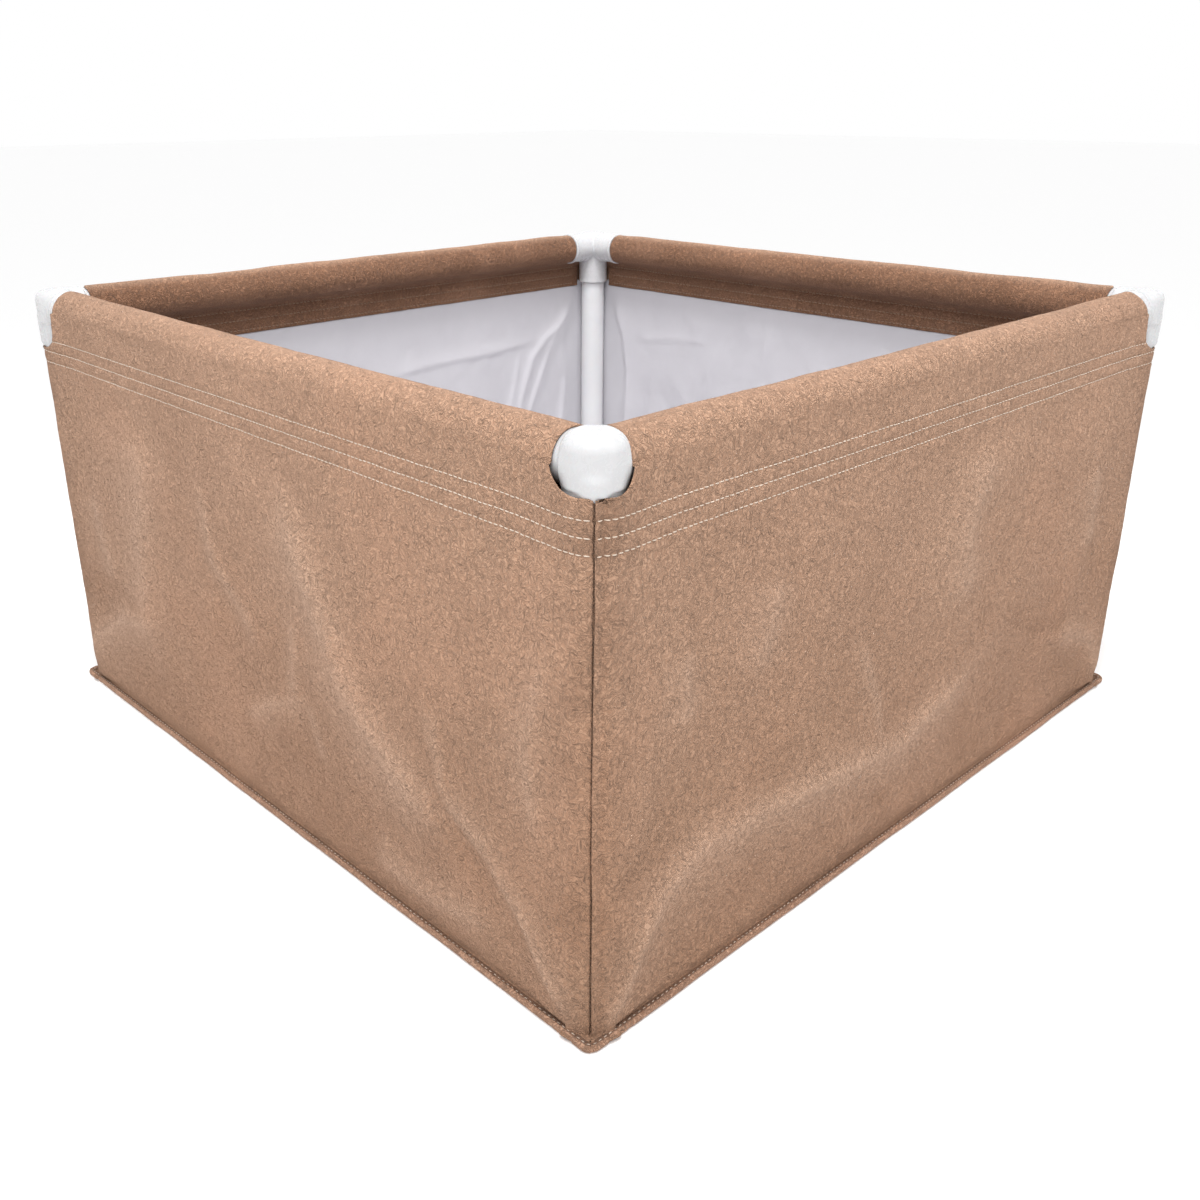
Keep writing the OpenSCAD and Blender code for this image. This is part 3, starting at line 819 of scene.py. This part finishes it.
# ------------------------------------------------------------- stitches
def capsule_run(centres, normals, length, pitch, radius, lift, seed, jitter=0.12):
    """Thread dashes along a polyline. Returns vertices, faces and, per vertex,
    where it is along the dash."""
    rng = np.random.default_rng(seed)
    centres, normals = np.asarray(centres, float), np.asarray(normals, float)
    d = np.concatenate([[0], np.cumsum(np.linalg.norm(np.diff(centres, axis=0), axis=1))])
    count = int(round(d[-1] / pitch))
    pitch = d[-1] / count
    start = (pitch - length) / 2
    rings, sides = 6, 7
    tt = np.linspace(0, 1, rings)
    rad = radius * np.array([0.42, 0.9, 1.0, 1.0, 0.9, 0.42])
    rise = lift + np.array([-0.34, -0.04, 0.05, 0.05, -0.04, -0.34])
    ang = np.arange(sides) * 2 * math.pi / sides
    vs, fs, al = [], [], []
    base = 0
    for i in range(count):
        a = start + i * pitch + rng.normal(0, jitter)
        ln = length * (1 + rng.normal(0, 0.04))
        q = a + tt * ln
        if q[0] < 0 or q[-1] > d[-1]:
            continue
        p = np.stack([np.interp(q, d, centres[:, j]) for j in range(3)], 1)
        n = np.stack([np.interp(q, d, normals[:, j]) for j in range(3)], 1)
        n /= np.linalg.norm(n, axis=1, keepdims=True)
        t = p[-1] - p[0]
        t /= np.linalg.norm(t)
        side = np.cross(n, t)
        side /= np.linalg.norm(side, axis=1, keepdims=True)
        p = p + n * rise[:, None] + side * (rng.normal(0, 0.07) + np.linspace(-0.10, 0.10, rings)[:, None])
        ring = p[:, None] + rad[:, None, None] * (np.cos(ang)[None, :, None] * side[:, None] * 1.12 + np.sin(ang)[None, :, None] * n[:, None] * 0.85)
        v = np.concatenate([ring.reshape(-1, 3), p[:1] - t * radius * 0.3, p[-1:] + t * radius * 0.3])
        vs.append(v)
        al.append(np.concatenate([np.repeat(q, sides), q[:1], q[-1:]]))
        for r in range(rings - 1):
            for j in range(sides):
                j2 = (j + 1) % sides
                fs.append((base + r * sides + j, base + r * sides + j2, base + (r + 1) * sides + j2, base + (r + 1) * sides + j))
        e0, e1 = base + rings * sides, base + rings * sides + 1
        for j in range(sides):
            j2 = (j + 1) % sides
            fs.append((e0, base + j2, base + j))
            fs.append((e1, base + (rings - 1) * sides + j, base + (rings - 1) * sides + j2))
        base += len(v)
    return np.concatenate(vs), fs, np.concatenate(al)


def row_line(g, n, phase, coord, w, want_phase, dz, w_lim):
    """Points and normals of the panel's outer face along one stitch row."""
    rows = [i for i in range(len(phase)) if phase[i] == want_phase and not (want_phase == 0 and coord[i] == 0.0 and i < 12)]
    zs = np.array([coord[i] for i in rows])
    order = np.argsort(zs)
    zs = zs[order]
    rows = np.array(rows)[order]
    j = int(np.clip(np.searchsorted(zs, dz), 1, len(zs) - 1))
    t = (dz - zs[j - 1]) / (zs[j] - zs[j - 1])
    p = g[rows[j - 1]] * (1 - t) + g[rows[j]] * t
    nn = n[rows[j - 1]] * (1 - t) + n[rows[j]] * t
    ww = w[rows[j]]
    keep = (ww > w_lim[0]) & (ww < w_lim[1])
    return p[keep], nn[keep]


def build_hem_stitches(k, panel, thread, thread_in):
    ob_p, g, n, phase, coord, w = panel
    allv, allf, alla, mats = [], [], [], []
    base = 0
    for i, row in enumerate(ROWS):
        lim = HALF + ARC + 0.9
        for ph, mat, lims in ((0, 0, (-lim, lim)), (2, 1, (-(HALF - 21), HALF - 21))):
            p, nn = row_line(g, n, phase, coord, w, ph, row - AXIS_Z, lims)
            v, f, a = capsule_run(p, nn, 3.45, 4.15, 0.34 if ph == 0 else 0.36, 0.16 if ph == 0 else 0.05, 500 + 10 * k + 2 * i + ph)
            allv.append(v)
            allf += [tuple(x + base for x in q) for q in f]
            mats += [mat] * len(f)
            alla.append(a)
            base += len(v)
    v = np.concatenate(allv)
    ob = make_object(f"hem_threads_{SIDES[k]}", world(k, v[:, 0], v[:, 1], v[:, 2]), allf, thread)
    ob.data.materials.append(thread_in)
    ob.data.polygons.foreach_set("material_index", mats)
    paint(ob, "along", np.concatenate(alla))
    fix_normals(ob)
    settle(ob, "thread", f"hem_stitches_{SIDES[k]}")
    return ob


def build_base_stitches(lines, thread):
    """lines are the four sides' valley points and normals, already in order."""
    p = np.concatenate([a for a, _ in lines])
    n = np.concatenate([b for _, b in lines])
    p = np.concatenate([p, p[:1]])
    n = np.concatenate([n, n[:1]])
    v, f, a = capsule_run(p, n, 2.9, 4.1, 0.31, 0.02, 777)
    ob = make_object("base_threads", v, f, thread)
    paint(ob, "along", a)
    fix_normals(ob)
    settle(ob, "thread", "base_stitches")
    return ob


# ------------------------------------------------------------- moulded parts
def smin(a, b, k):
    h = np.clip(0.5 + 0.5 * (b - a) / k, 0, 1)
    return b * (1 - h) + a * h - k * h * (1 - h)


def smax(a, b, k):
    return -smin(-a, -b, k)


def rod(axis_d, radial, r, a, b, rnd):
    """A cylinder from a to b along its axis with rounded ends."""
    dx = radial - (r - rnd)
    dy = np.abs(axis_d - (a + b) / 2) - ((b - a) / 2 - rnd)
    return np.minimum(np.maximum(dx, dy), 0) + np.hypot(np.maximum(dx, 0), np.maximum(dy, 0)) - rnd


SOCKET_R, REACH, REACH_Z, STOP = 15.5, 41.0, 40.0, 17.0
POST_R = 16.3  # outside radius of the upright socket


def fitting_field(p, heel_to, arm_r, rims, out, land):
    x, y, z = p[..., 0], p[..., 1], -p[..., 2]
    rx, ry, rz = np.hypot(y, z), np.hypot(x, z), np.hypot(x, y)
    ball = np.sqrt(x * x + y * y + z * z) - (SOCKET_R + 0.1)
    ax = rod(x, rx, arm_r, -6.0, REACH, 0.9)
    ay = rod(y, ry, arm_r, -6.0, REACH, 0.9)
    az = rod(z, rz, POST_R if heel_to else SOCKET_R, 6.0, REACH_Z, 0.9)
    # the outer corner is full, and runs a little way down the upright socket
    body = smin(smin(ax, ay, 1.0), ball, 1.5)
    body = smin(body, az, 0.9)
    if heel_to:
        # a full round shoulder that ends in a step, and a narrower heel below
        heel = rod(z, np.hypot(x + out + 2.5, y + out + 2.5), 12.0, -9.0, heel_to, 5.0)
        # the heel keeps its full reach at the very corner, right down to its end
        heel = smin(heel, rod(z, np.hypot(x + out + 6.9, y + out + 6.9), 8.0, 1.0, heel_to, 5.0), 3.5)
        cap = np.hypot(np.maximum(np.hypot(x + out, y + out) - 8.2, 0), np.maximum(np.abs(z - 2.0) - 9.9, 0)) - 8.0
        cap = smax(cap, z - 10.5, 1.2)
        if land:
            cap = smin(cap, np.minimum(rod(x, rx, 16.2, -6.0, land, 1.2), rod(y, ry, 16.2, -6.0, land, 1.2)), 3.0)
        body = smin(body, smin(heel, cap, 1.2), 1.2)
    # raised rims at the mouths
    if rims:
        rim = np.minimum(rod(x, rx, arm_r + 0.9, REACH - 3.0, REACH, 0.7), rod(y, ry, arm_r + 0.9, REACH - 3.0, REACH, 0.7))
        body = smin(body, rim, 0.7)
    body = smin(body, rod(z, rz, (POST_R if heel_to else SOCKET_R) + 0.3, REACH_Z - 2.6, REACH_Z, 0.45), 0.4)
    # sockets for the pipes and the hollow bore, cut out of the body
    bore = np.minimum(np.minimum(
        rod(x, rx, PIPE_R + 0.12, STOP, REACH + 9, 0.2), rod(y, ry, PIPE_R + 0.12, STOP, REACH + 9, 0.2)),
        rod(z, rz, PIPE_R + 0.12, STOP, REACH + 9, 0.2))
    thin = np.minimum(np.minimum(
        rod(x, rx, PIPE_R - 2.9, -2, REACH, 0.2), rod(y, ry, PIPE_R - 2.9, -2, REACH, 0.2)),
        rod(z, rz, PIPE_R - 2.9, -2, REACH, 0.2))
    return smax(body, -np.minimum(bore, thin), 0.5)


def surface_net(field, lo, hi, step):
    """Quads on the zero level of a field, one vertex per crossed cell."""
    axes = [np.arange(l, h + step, step) for l, h in zip(lo, hi)]
    gx, gy, gz = np.meshgrid(*axes, indexing="ij")
    pts = np.stack([gx, gy, gz], -1)
    f = field(pts)
    s = f < 0
    shape = tuple(a - 1 for a in s.shape)
    corners = [(i, j, k) for i in (0, 1) for j in (0, 1) for k in (0, 1)]
    cnt = sum(s[i : i + shape[0], j : j + shape[1], k : k + shape[2]].astype(int) for i, j, k in corners)
    act = (cnt > 0) & (cnt < 8)
    vid = np.full(shape, -1)
    vid[act] = np.arange(act.sum())
    acc = np.zeros((int(act.sum()), 3))
    num = np.zeros(int(act.sum()))
    ci = np.argwhere(act)
    for a in corners:
        for d in range(3):
            if a[d] == 1:
                continue
            b = list(a)
            b[d] = 1
            fa = f[ci[:, 0] + a[0], ci[:, 1] + a[1], ci[:, 2] + a[2]]
            fb = f[ci[:, 0] + b[0], ci[:, 1] + b[1], ci[:, 2] + b[2]]
            m = (fa < 0) != (fb < 0)
            t = np.where(m, fa / np.where(fa - fb == 0, 1, fa - fb), 0)
            pos = ci + np.array(a, float)
            pos = pos.astype(float)
            pos[:, d] += t
            acc[m] += pos[m]
            num[m] += 1
    v = acc / num[:, None] * step + np.array(lo)
    quads = []
    for d in range(3):
        e1, e2 = [(1, 2), (2, 0), (0, 1)][d]
        sl_a = [slice(1, -1)] * 3
        sl_a[d] = slice(0, -1)
        sl_b = [slice(1, -1)] * 3
        sl_b[d] = slice(1, None)
        sa, sb = s[tuple(sl_a)], s[tuple(sl_b)]
        idx = np.argwhere(sa != sb)
        flip = sa[sa != sb]
        off = np.ones(3, int)
        off[d] = 0
        c = idx + off
        q = []
        for da, db in ((-1, -1), (0, -1), (0, 0), (-1, 0)):
            cc = c.copy()
            cc[:, e1] += da
            cc[:, e2] += db
            q.append(vid[cc[:, 0], cc[:, 1], cc[:, 2]])
        q = np.stack(q, 1)
        q[~flip] = q[~flip][:, ::-1]
        quads.append(q)
    quads = np.concatenate(quads)
    quads = quads[(quads >= 0).all(1)]
    for _ in range(3):  # settle the vertices on the surface
        h = 0.05
        g = np.stack([(field(v + h * e) - field(v - h * e)) / (2 * h) for e in np.eye(3)], 1)
        gl = np.maximum((g * g).sum(1, keepdims=True), 0.2)
        v = v - np.clip(field(v)[:, None] * g / gl, -0.4, 0.4)
    return v, quads


def build_fittings(material):
    lo, hi = (-19.9, -19.9, -44.6), (44.6, 44.6, 18.6)
    made = []
    # under the sleeves the arms are plain; at the back corner their rims show
    for level, zc, heel_to, arm_r, rims, out, land, where in (
        ("top", AXIS_Z, 30.6, 14.6, False, 1.9, 18.5, (0, 2)), ("top", AXIS_Z, 15.5, SOCKET_R, True, 1.2, 0, (3,)),
        ("top", AXIS_Z, 15.5, 14.6, False, 1.2, 9.5, (1,)), ("bottom", LOW_Z, 0.0, SOCKET_R, True, 0, 0, (0, 1, 2, 3)),
    ):
        v, q = surface_net(lambda p: fitting_field(p, heel_to, arm_r, rims, out, land), lo, hi, 0.95)
        for k in where:
            corner = CORNERS[k]
            p = v.copy()
            f = q
            if level == "bottom":
                p[:, 2] = -p[:, 2]
                f = q[:, ::-1]
            x, y = p[:, 0] - HALF, p[:, 1] - HALF
            for _ in range(k):
                x, y = -y, x
            ob = make_object(f"{level}_moulded_fitting_{corner}", np.stack([x, y, p[:, 2] + zc], 1), f, material)
            fix_normals(ob)
            settle(ob, "frame_plastic", f"{level}_fitting_{corner}")
            made.append(ob)
    return made
# ------------------------------------------------------------- materials
class Graph:
    """Short hand for building a node material."""

    def __init__(self, name):
        self.mat = bpy.data.materials.new(name)
        self.mat.use_nodes = True
        self.nt = self.mat.node_tree
        self.bsdf = self.nt.nodes["Principled BSDF"]
        self.co = self.node("ShaderNodeTexCoord").outputs["Object"]

    def node(self, kind, **props):
        n = self.nt.nodes.new(kind)
        for k, v in props.items():
            setattr(n, k, v)
        return n

    def plug(self, socket, value):
        if isinstance(value, bpy.types.NodeSocket):
            self.nt.links.new(value, socket)
        elif value is not None:
            socket.default_value = value

    def math(self, op, a, b=None, c=None, clamp=False):
        n = self.node("ShaderNodeMath", operation=op, use_clamp=clamp)
        for i, v in enumerate((a, b, c)):
            if v is not None:
                self.plug(n.inputs[i], v)
        return n.outputs[0]

    def noise(self, scale, detail=2.0, rough=0.5, distortion=0.0, vector=None, seed=None):
        v = vector or self.co
        if seed is not None:
            m = self.node("ShaderNodeMapping")
            self.plug(m.inputs["Vector"], v)
            m.inputs["Location"].default_value = seed
            v = m.outputs[0]
        n = self.node("ShaderNodeTexNoise")
        self.plug(n.inputs["Vector"], v)
        n.inputs["Scale"].default_value = scale
        n.inputs["Detail"].default_value = detail
        n.inputs["Roughness"].default_value = rough
        n.inputs["Distortion"].default_value = distortion
        return n.outputs[0]

    def span(self, value, a, b, c=0.0, d=1.0, smooth_step=True):
        n = self.node("ShaderNodeMapRange", interpolation_type="SMOOTHSTEP" if smooth_step else "LINEAR")
        self.plug(n.inputs["Value"], value)
        for key, v in zip(("From Min", "From Max", "To Min", "To Max"), (a, b, c, d)):
            n.inputs[key].default_value = v
        return n.outputs[0]

    def mix(self, factor, a, b, mode="MIX"):
        n = self.node("ShaderNodeMix", data_type="RGBA", blend_type=mode)
        self.plug(n.inputs[0], factor)
        for i, v in ((6, a), (7, b)):
            self.plug(n.inputs[i], (*v, 1) if isinstance(v, tuple) and len(v) == 3 else v)
        return n.outputs[2]

    def attr(self, name):
        return self.node("ShaderNodeAttribute", attribute_name=name).outputs["Fac"]

    def bump(self, height, strength, distance, normal=None):
        n = self.node("ShaderNodeBump")
        n.inputs["Strength"].default_value = strength
        n.inputs["Distance"].default_value = distance
        self.plug(n.inputs["Height"], height)
        if normal is not None:
            self.plug(n.inputs["Normal"], normal)
        return n.outputs[0]

    def finish(self, color, rough, normal, **sockets):
        self.plug(self.bsdf.inputs["Base Color"], color)
        self.plug(self.bsdf.inputs["Roughness"], rough)
        if normal is not None:
            self.plug(self.bsdf.inputs["Normal"], normal)
        for k, v in sockets.items():
            self.bsdf.inputs[k.replace("_", " ")].default_value = v
        return self.mat


def srgb(r, g, b):
    def lin(c):
        c /= 255.0
        return c / 12.92 if c <= 0.04045 else ((c + 0.055) / 1.055) ** 2.4

    return (lin(r), lin(g), lin(b))


def brushed_cloth(name, light, dark, painted_shade_light, painted_shade_dark, valley=False):
    """Brushed needle-punched cloth: short curled fibre strokes a couple of
    millimetres long over a soft uneven mottling."""
    g = Graph(name)
    # curled strokes: contour lines of a warped noise, broken up by a second one
    f1 = g.noise(225.0, 0.0, 0.4, 0.8)
    f2 = g.noise(255.0, 0.0, 0.4, 0.6, seed=(3.1, 1.7, 5.3))
    w1 = g.math("MULTIPLY_ADD", g.math("SINE", g.math("MULTIPLY", f1, 44.0)), 0.5, 0.5)
    w2 = g.math("MULTIPLY_ADD", g.math("SINE", g.math("MULTIPLY", f2, 42.0)), 0.5, 0.5)
    brk = g.span(g.noise(260.0, 1.0, 0.6, 0.0, seed=(7.0, 2.0, 1.0)), 0.44, 0.58)
    worms = g.math("ADD", g.math("MULTIPLY", w1, brk), g.math("MULTIPLY", w2, g.math("SUBTRACT", 1.0, brk)))
    patch = g.span(g.noise(34.0, 3.0, 0.62, 0.4, seed=(1.0, 9.0, 4.0)), 0.38, 0.66)
    soft = g.noise(11.0, 4.0, 0.6, 0.5, seed=(4.0, 4.0, 8.0))
    broad = g.noise(3.4, 3.0, 0.55, 0.6, seed=(2.0, 6.0, 3.0))
    fine = g.noise(900.0, 2.0, 0.7, 0.0, seed=(5.0, 8.0, 2.0))
    inside = g.attr("inside")
    seam = g.attr("seam")
    tone = g.math("MULTIPLY", worms, g.math("MULTIPLY_ADD", patch, 0.12, 0.74))
    tone = g.math("ADD", tone, g.math("MULTIPLY", g.math("SUBTRACT", fine, 0.5), 0.30))
    tone = g.math("ADD", tone, g.math("MULTIPLY", g.math("SUBTRACT", soft, 0.5), 0.34))
    tone = g.math("ADD", tone, g.math("MULTIPLY", g.math("SUBTRACT", broad, 0.5), 0.30))
    tone = g.math("ADD", tone, 0.12, clamp=True)
    base = g.mix(tone, dark, light)
    # painted shade: darker copies of the colours for the inside of the sleeve, the hem and the tape's sewn valley
    back = g.mix(tone, painted_shade_dark, painted_shade_light)
    col = g.mix(inside, base, back)
    # painted shade: slightly darker and warmer beside the vertical seams, broken up by noise
    seam_shade = g.math("MULTIPLY", seam, g.span(g.noise(26.0, 3.0, 0.6, 0.3, seed=(8.0, 1.0, 6.0)), 0.32, 0.62), clamp=True)
    col = g.mix(g.math("MULTIPLY", seam_shade, 0.42), col, tuple(c * 0.62 for c in dark))
    # painted shade: darker and warmer low on the wall, broken up by noise
    low = g.attr("low")
    col = g.mix(g.math("MULTIPLY", low, g.span(g.noise(14.0, 3.0, 0.6, 0.4, seed=(6.0, 5.0, 2.0)), 0.2, 0.8, 0.34, 0.60)), col, tuple(c * k for c, k in zip(dark, (0.78, 0.70, 0.60))))
    # painted highlight: paler along the crests of the folds, broken up by the fibre strokes
    crest = g.math("MULTIPLY", g.attr("crest"), g.span(worms, 0.0, 1.0, 0.55, 1.0), clamp=True)
    col = g.mix(g.math("MULTIPLY", crest, 0.74), col, tuple(min(1.0, c * k) for c, k in zip(light, (1.06, 1.14, 1.22))))
    # a paler, warmer bloom where the nap is brushed the other way
    warm = g.span(g.noise(7.0, 2.0, 0.5, 0.6, seed=(9.0, 3.0, 1.0)), 0.48, 0.72)
    col = g.mix(g.math("MULTIPLY", warm, 0.22), col, tuple(min(1.0, c * k) for c, k in zip(light, (1.08, 0.98, 0.93))))
    height = g.math("ADD", g.math("MULTIPLY", worms, 0.75), g.math("MULTIPLY", fine, 0.35))
    height = g.math("ADD", height, g.math("MULTIPLY", soft, 0.5))
    nrm = g.bump(height, 1.0, 0.00075)
    rough = g.span(tone, 0.0, 1.0, 0.97, 0.86)
    m = g.finish(col, rough, nrm)
    b = g.bsdf
    b.inputs["Sheen Weight"].default_value = 0.10
    b.inputs["Sheen Roughness"].default_value = 0.45
    b.inputs["Sheen Tint"].default_value = (0.95, 0.84, 0.76, 1)
    b.inputs["Specular IOR Level"].default_value = 0.12
    return m


def lining_cloth(name):
    """Thin coated lining: a faint plain weave, soft press marks, cool white."""
    g = Graph(name)
    sep = g.node("ShaderNodeSeparateXYZ")
    g.plug(sep.inputs[0], g.co)
    x, y, z = sep.outputs
    warp = g.math("SINE", g.math("MULTIPLY", g.math("ADD", x, y), 2 * math.pi / 0.0011))
    weft = g.math("SINE", g.math("MULTIPLY", z, 2 * math.pi / 0.0009))
    weave = g.math("MULTIPLY", warp, weft)
    soft = g.noise(9.0, 4.0, 0.6, 0.6)
    fine = g.noise(260.0, 3.0, 0.6)
    crush = g.noise(38.0, 5.0, 0.55, 1.2, seed=(2.0, 5.0, 1.0))
    tone = g.math("ADD", g.math("MULTIPLY", g.math("SUBTRACT", soft, 0.5), 0.9), g.math("MULTIPLY", g.math("SUBTRACT", crush, 0.5), 0.35))
    tone = g.math("ADD", tone, g.math("MULTIPLY", g.math("SUBTRACT", fine, 0.5), 0.12))
    tone = g.math("ADD", tone, 0.5, clamp=True)
    col = g.mix(tone, LINING_DARK, LINING_LIGHT)
    height = g.math("ADD", g.math("MULTIPLY", weave, 0.10), g.math("MULTIPLY", crush, 1.0))
    nrm = g.bump(height, 0.45, 0.0006)
    m = g.finish(col, g.span(crush, 0.3, 0.7, 0.50, 0.66), nrm)
    g.bsdf.inputs["Sheen Weight"].default_value = 0.12
    g.bsdf.inputs["Sheen Roughness"].default_value = 0.5
    g.bsdf.inputs["Specular IOR Level"].default_value = 0.35
    return m


def moulded_plastic(name, light, dark, rough_lo, rough_hi):
    """White moulded plastic with very faint flow marks and handling scuffs."""
    g = Graph(name)
    flow = g.noise(22.0, 3.0, 0.5, 0.8)
    grain = g.noise(700.0, 2.0, 0.5)
    scuff = g.noise(120.0, 4.0, 0.7, 1.5, seed=(3.0, 1.0, 2.0))
    col = g.mix(g.span(flow, 0.3, 0.7), dark, light)
    col = g.mix(g.math("MULTIPLY", g.span(scuff, 0.60, 0.74), 0.18), col, tuple(c * 0.86 for c in dark))
    height = g.math("ADD", g.math("MULTIPLY", flow, 1.0), g.math("MULTIPLY", grain, 0.06))
    nrm = g.bump(height, 0.20, 0.0004)
    rough = g.math("ADD", g.span(scuff, 0.45, 0.7, rough_lo, rough_hi), g.math("MULTIPLY", grain, 0.04))
    m = g.finish(col, rough, nrm)
    g.bsdf.inputs["Specular IOR Level"].default_value = 0.42
    g.bsdf.inputs["Subsurface Weight"].default_value = 0.06
    g.bsdf.inputs["Subsurface Scale"].default_value = 0.002
    g.bsdf.inputs["Coat Weight"].default_value = 0.08
    g.bsdf.inputs["Coat Roughness"].default_value = 0.25
    return m


def thread_material(name, light, dark):
    """Twisted sewing thread: fine diagonal plies."""
    g = Graph(name)
    sep = g.node("ShaderNodeSeparateXYZ")
    g.plug(sep.inputs[0], g.co)
    x, y, z = sep.outputs
    ply = g.math("SINE", g.math("MULTIPLY", g.math("ADD", g.math("ADD", x, y), g.math("MULTIPLY", z, 1.4)), 2 * math.pi / 0.00062))
    ply = g.math("MULTIPLY_ADD", ply, 0.5, 0.5)
    fuzz = g.noise(1500.0, 2.0, 0.6)
    vary = g.noise(60.0, 2.0, 0.5)
    tone = g.math("ADD", g.math("MULTIPLY", ply, 0.55), g.math("MULTIPLY", vary, 0.5), clamp=True)
    col = g.mix(tone, dark, light)
    nrm = g.bump(g.math("ADD", ply, g.math("MULTIPLY", fuzz, 0.5)), 0.5, 0.00016)
    m = g.finish(col, g.span(fuzz, 0.3, 0.7, 0.55, 0.75), nrm)
    g.bsdf.inputs["Sheen Weight"].default_value = 0.25
    g.bsdf.inputs["Sheen Roughness"].default_value = 0.35
    g.bsdf.inputs["Specular IOR Level"].default_value = 0.3
    return m


CLOTH_LIGHT, CLOTH_DARK = (0.503, 0.310, 0.209), (0.327, 0.191, 0.124)
# painted shade: darker cloth colours for the inside of the sleeve and the hem
INSIDE_SHADE_LIGHT, INSIDE_SHADE_DARK = (0.300, 0.160, 0.096), (0.150, 0.074, 0.043)
TAPE_LIGHT, TAPE_DARK = (0.490, 0.296, 0.202), (0.235, 0.130, 0.082)
LINING_LIGHT, LINING_DARK = (0.61, 0.597, 0.628), (0.53, 0.517, 0.547)
# ------------------------------------------------------------- camera, light
def stage():
    cam_data = bpy.data.cameras.new("camera")
    cam = bpy.data.objects.new("camera", cam_data)
    bpy.context.scene.collection.objects.link(cam)
    cam.location = (0.69694, -0.70048, 0.50167)
    cam.rotation_euler = Euler((1.15444, 0.00331, 0.80849), "XYZ")
    cam_data.sensor_width = 36.0
    cam_data.lens = 35.09
    cam_data.shift_x = 0.03131
    cam_data.shift_y = 0.01161
    cam_data.clip_start = 0.02
    cam_data.clip_end = 60.0
    bpy.context.scene.camera = cam

    world_data = bpy.data.worlds.new("studio")
    bpy.context.scene.world = world_data
    world_data.use_nodes = True
    bg = world_data.node_tree.nodes["Background"]
    bg.inputs["Color"].default_value = (1.0, 1.0, 1.0, 1)
    bg.inputs["Strength"].default_value = WORLD

    def area(name, loc, aim, size, power, colour=(1, 1, 1), spread=180):
        ld = bpy.data.lights.new(name, "AREA")
        ld.shape = "RECTANGLE"
        ld.size, ld.size_y = size
        ld.energy = power
        ld.color = colour
        ld.spread = math.radians(spread)
        o = bpy.data.objects.new(name, ld)
        o.location = loc
        o.rotation_euler = (Vector(aim) - Vector(loc)).to_track_quat("-Z", "Y").to_euler()
        bpy.context.scene.collection.objects.link(o)
        return o

    for name, loc, aim, size, power, spread in LIGHTS:
        area(name, loc, aim, size, power, spread=spread)

    mat = bpy.data.materials.new("floor_paper")
    mat.use_nodes = True
    nt = mat.node_tree
    b = nt.nodes["Principled BSDF"]
    b.inputs["Base Color"].default_value = (0.975, 0.975, 0.975, 1)
    b.inputs["Roughness"].default_value = 0.9
    b.inputs["Specular IOR Level"].default_value = 0.15
    me = bpy.data.meshes.new("floor")
    e = 14.0
    me.from_pydata([(-e, -e, 0), (e, -e, 0), (e, e, 0), (-e, e, 0)], [], [(0, 1, 2, 3)])
    me.materials.append(mat)
    floor = bpy.data.objects.new("floor", me)
    bpy.context.scene.collection.objects.link(floor)
    vs = bpy.context.scene.view_settings
    vs.view_transform = "Standard"
    vs.look = "None"
    vs.exposure = 0.0


WORLD = 1.0
LIGHTS = (
    ("key", (0.62, -0.86, 1.35), (0.15, -0.15, 0.25), (0.7, 0.7), 9.0, 180),
    ("fill", (1.7, 0.2, 1.2), (0.0, 0.0, 0.2), (1.0, 1.0), 2.5, 180),
    ("inside", (0.35, -0.35, 1.9), (-0.15, 0.15, 0.15), (0.5, 0.5), 2.5, 50),
)
# ------------------------------------------------------------- put together
stage()

cloth = brushed_cloth("brushed_outer_cloth", CLOTH_LIGHT, CLOTH_DARK, INSIDE_SHADE_LIGHT, INSIDE_SHADE_DARK)
# painted shade: the tape's sewn valley takes TAPE_DARK and a darker copy of it
tape = brushed_cloth("binding_tape_cloth", TAPE_LIGHT, TAPE_DARK, TAPE_DARK, tuple(c * 0.55 for c in TAPE_DARK))
pale = lining_cloth("pale_lining_cloth")
# painted shade: the fittings get a darker copy of the pipes' white plastic, against the stronger light that falls on
# them
plastic = moulded_plastic("white_moulded_plastic", (0.575, 0.575, 0.583), (0.542, 0.542, 0.550), 0.24, 0.38)
pipe = moulded_plastic("white_pipe_plastic", (0.71, 0.71, 0.72), (0.68, 0.68, 0.69), 0.30, 0.42)
thread = thread_material("cream_thread", (0.78, 0.66, 0.55), (0.56, 0.45, 0.36))
thread_low = thread_material("base_thread", (0.70, 0.59, 0.49), (0.48, 0.37, 0.29))
thread_in = thread_material("tan_thread", (0.40, 0.27, 0.19), (0.24, 0.15, 0.10))

valleys = []
for k in range(4):
    panel = build_panel(k, cloth)
    lining = build_lining(k, pale)
    binding, tape_w, tape_l, valley = build_binding(k, tape)
    valleys.append(valley)
    build_hem_stitches(k, panel, thread, thread_in)
    a, b = CORNERS[k], CORNERS[(k + 1) % 4]
base, base_in = build_base(cloth, pale)
build_base_stitches(valleys, thread_low)
build_fittings(plastic)

for name, node in frame["nodes"].items():
    if name.startswith(("post_", "top_rail_", "bottom_rail_")):
        node.data.materials.clear()
        node.data.materials.append(pipe)
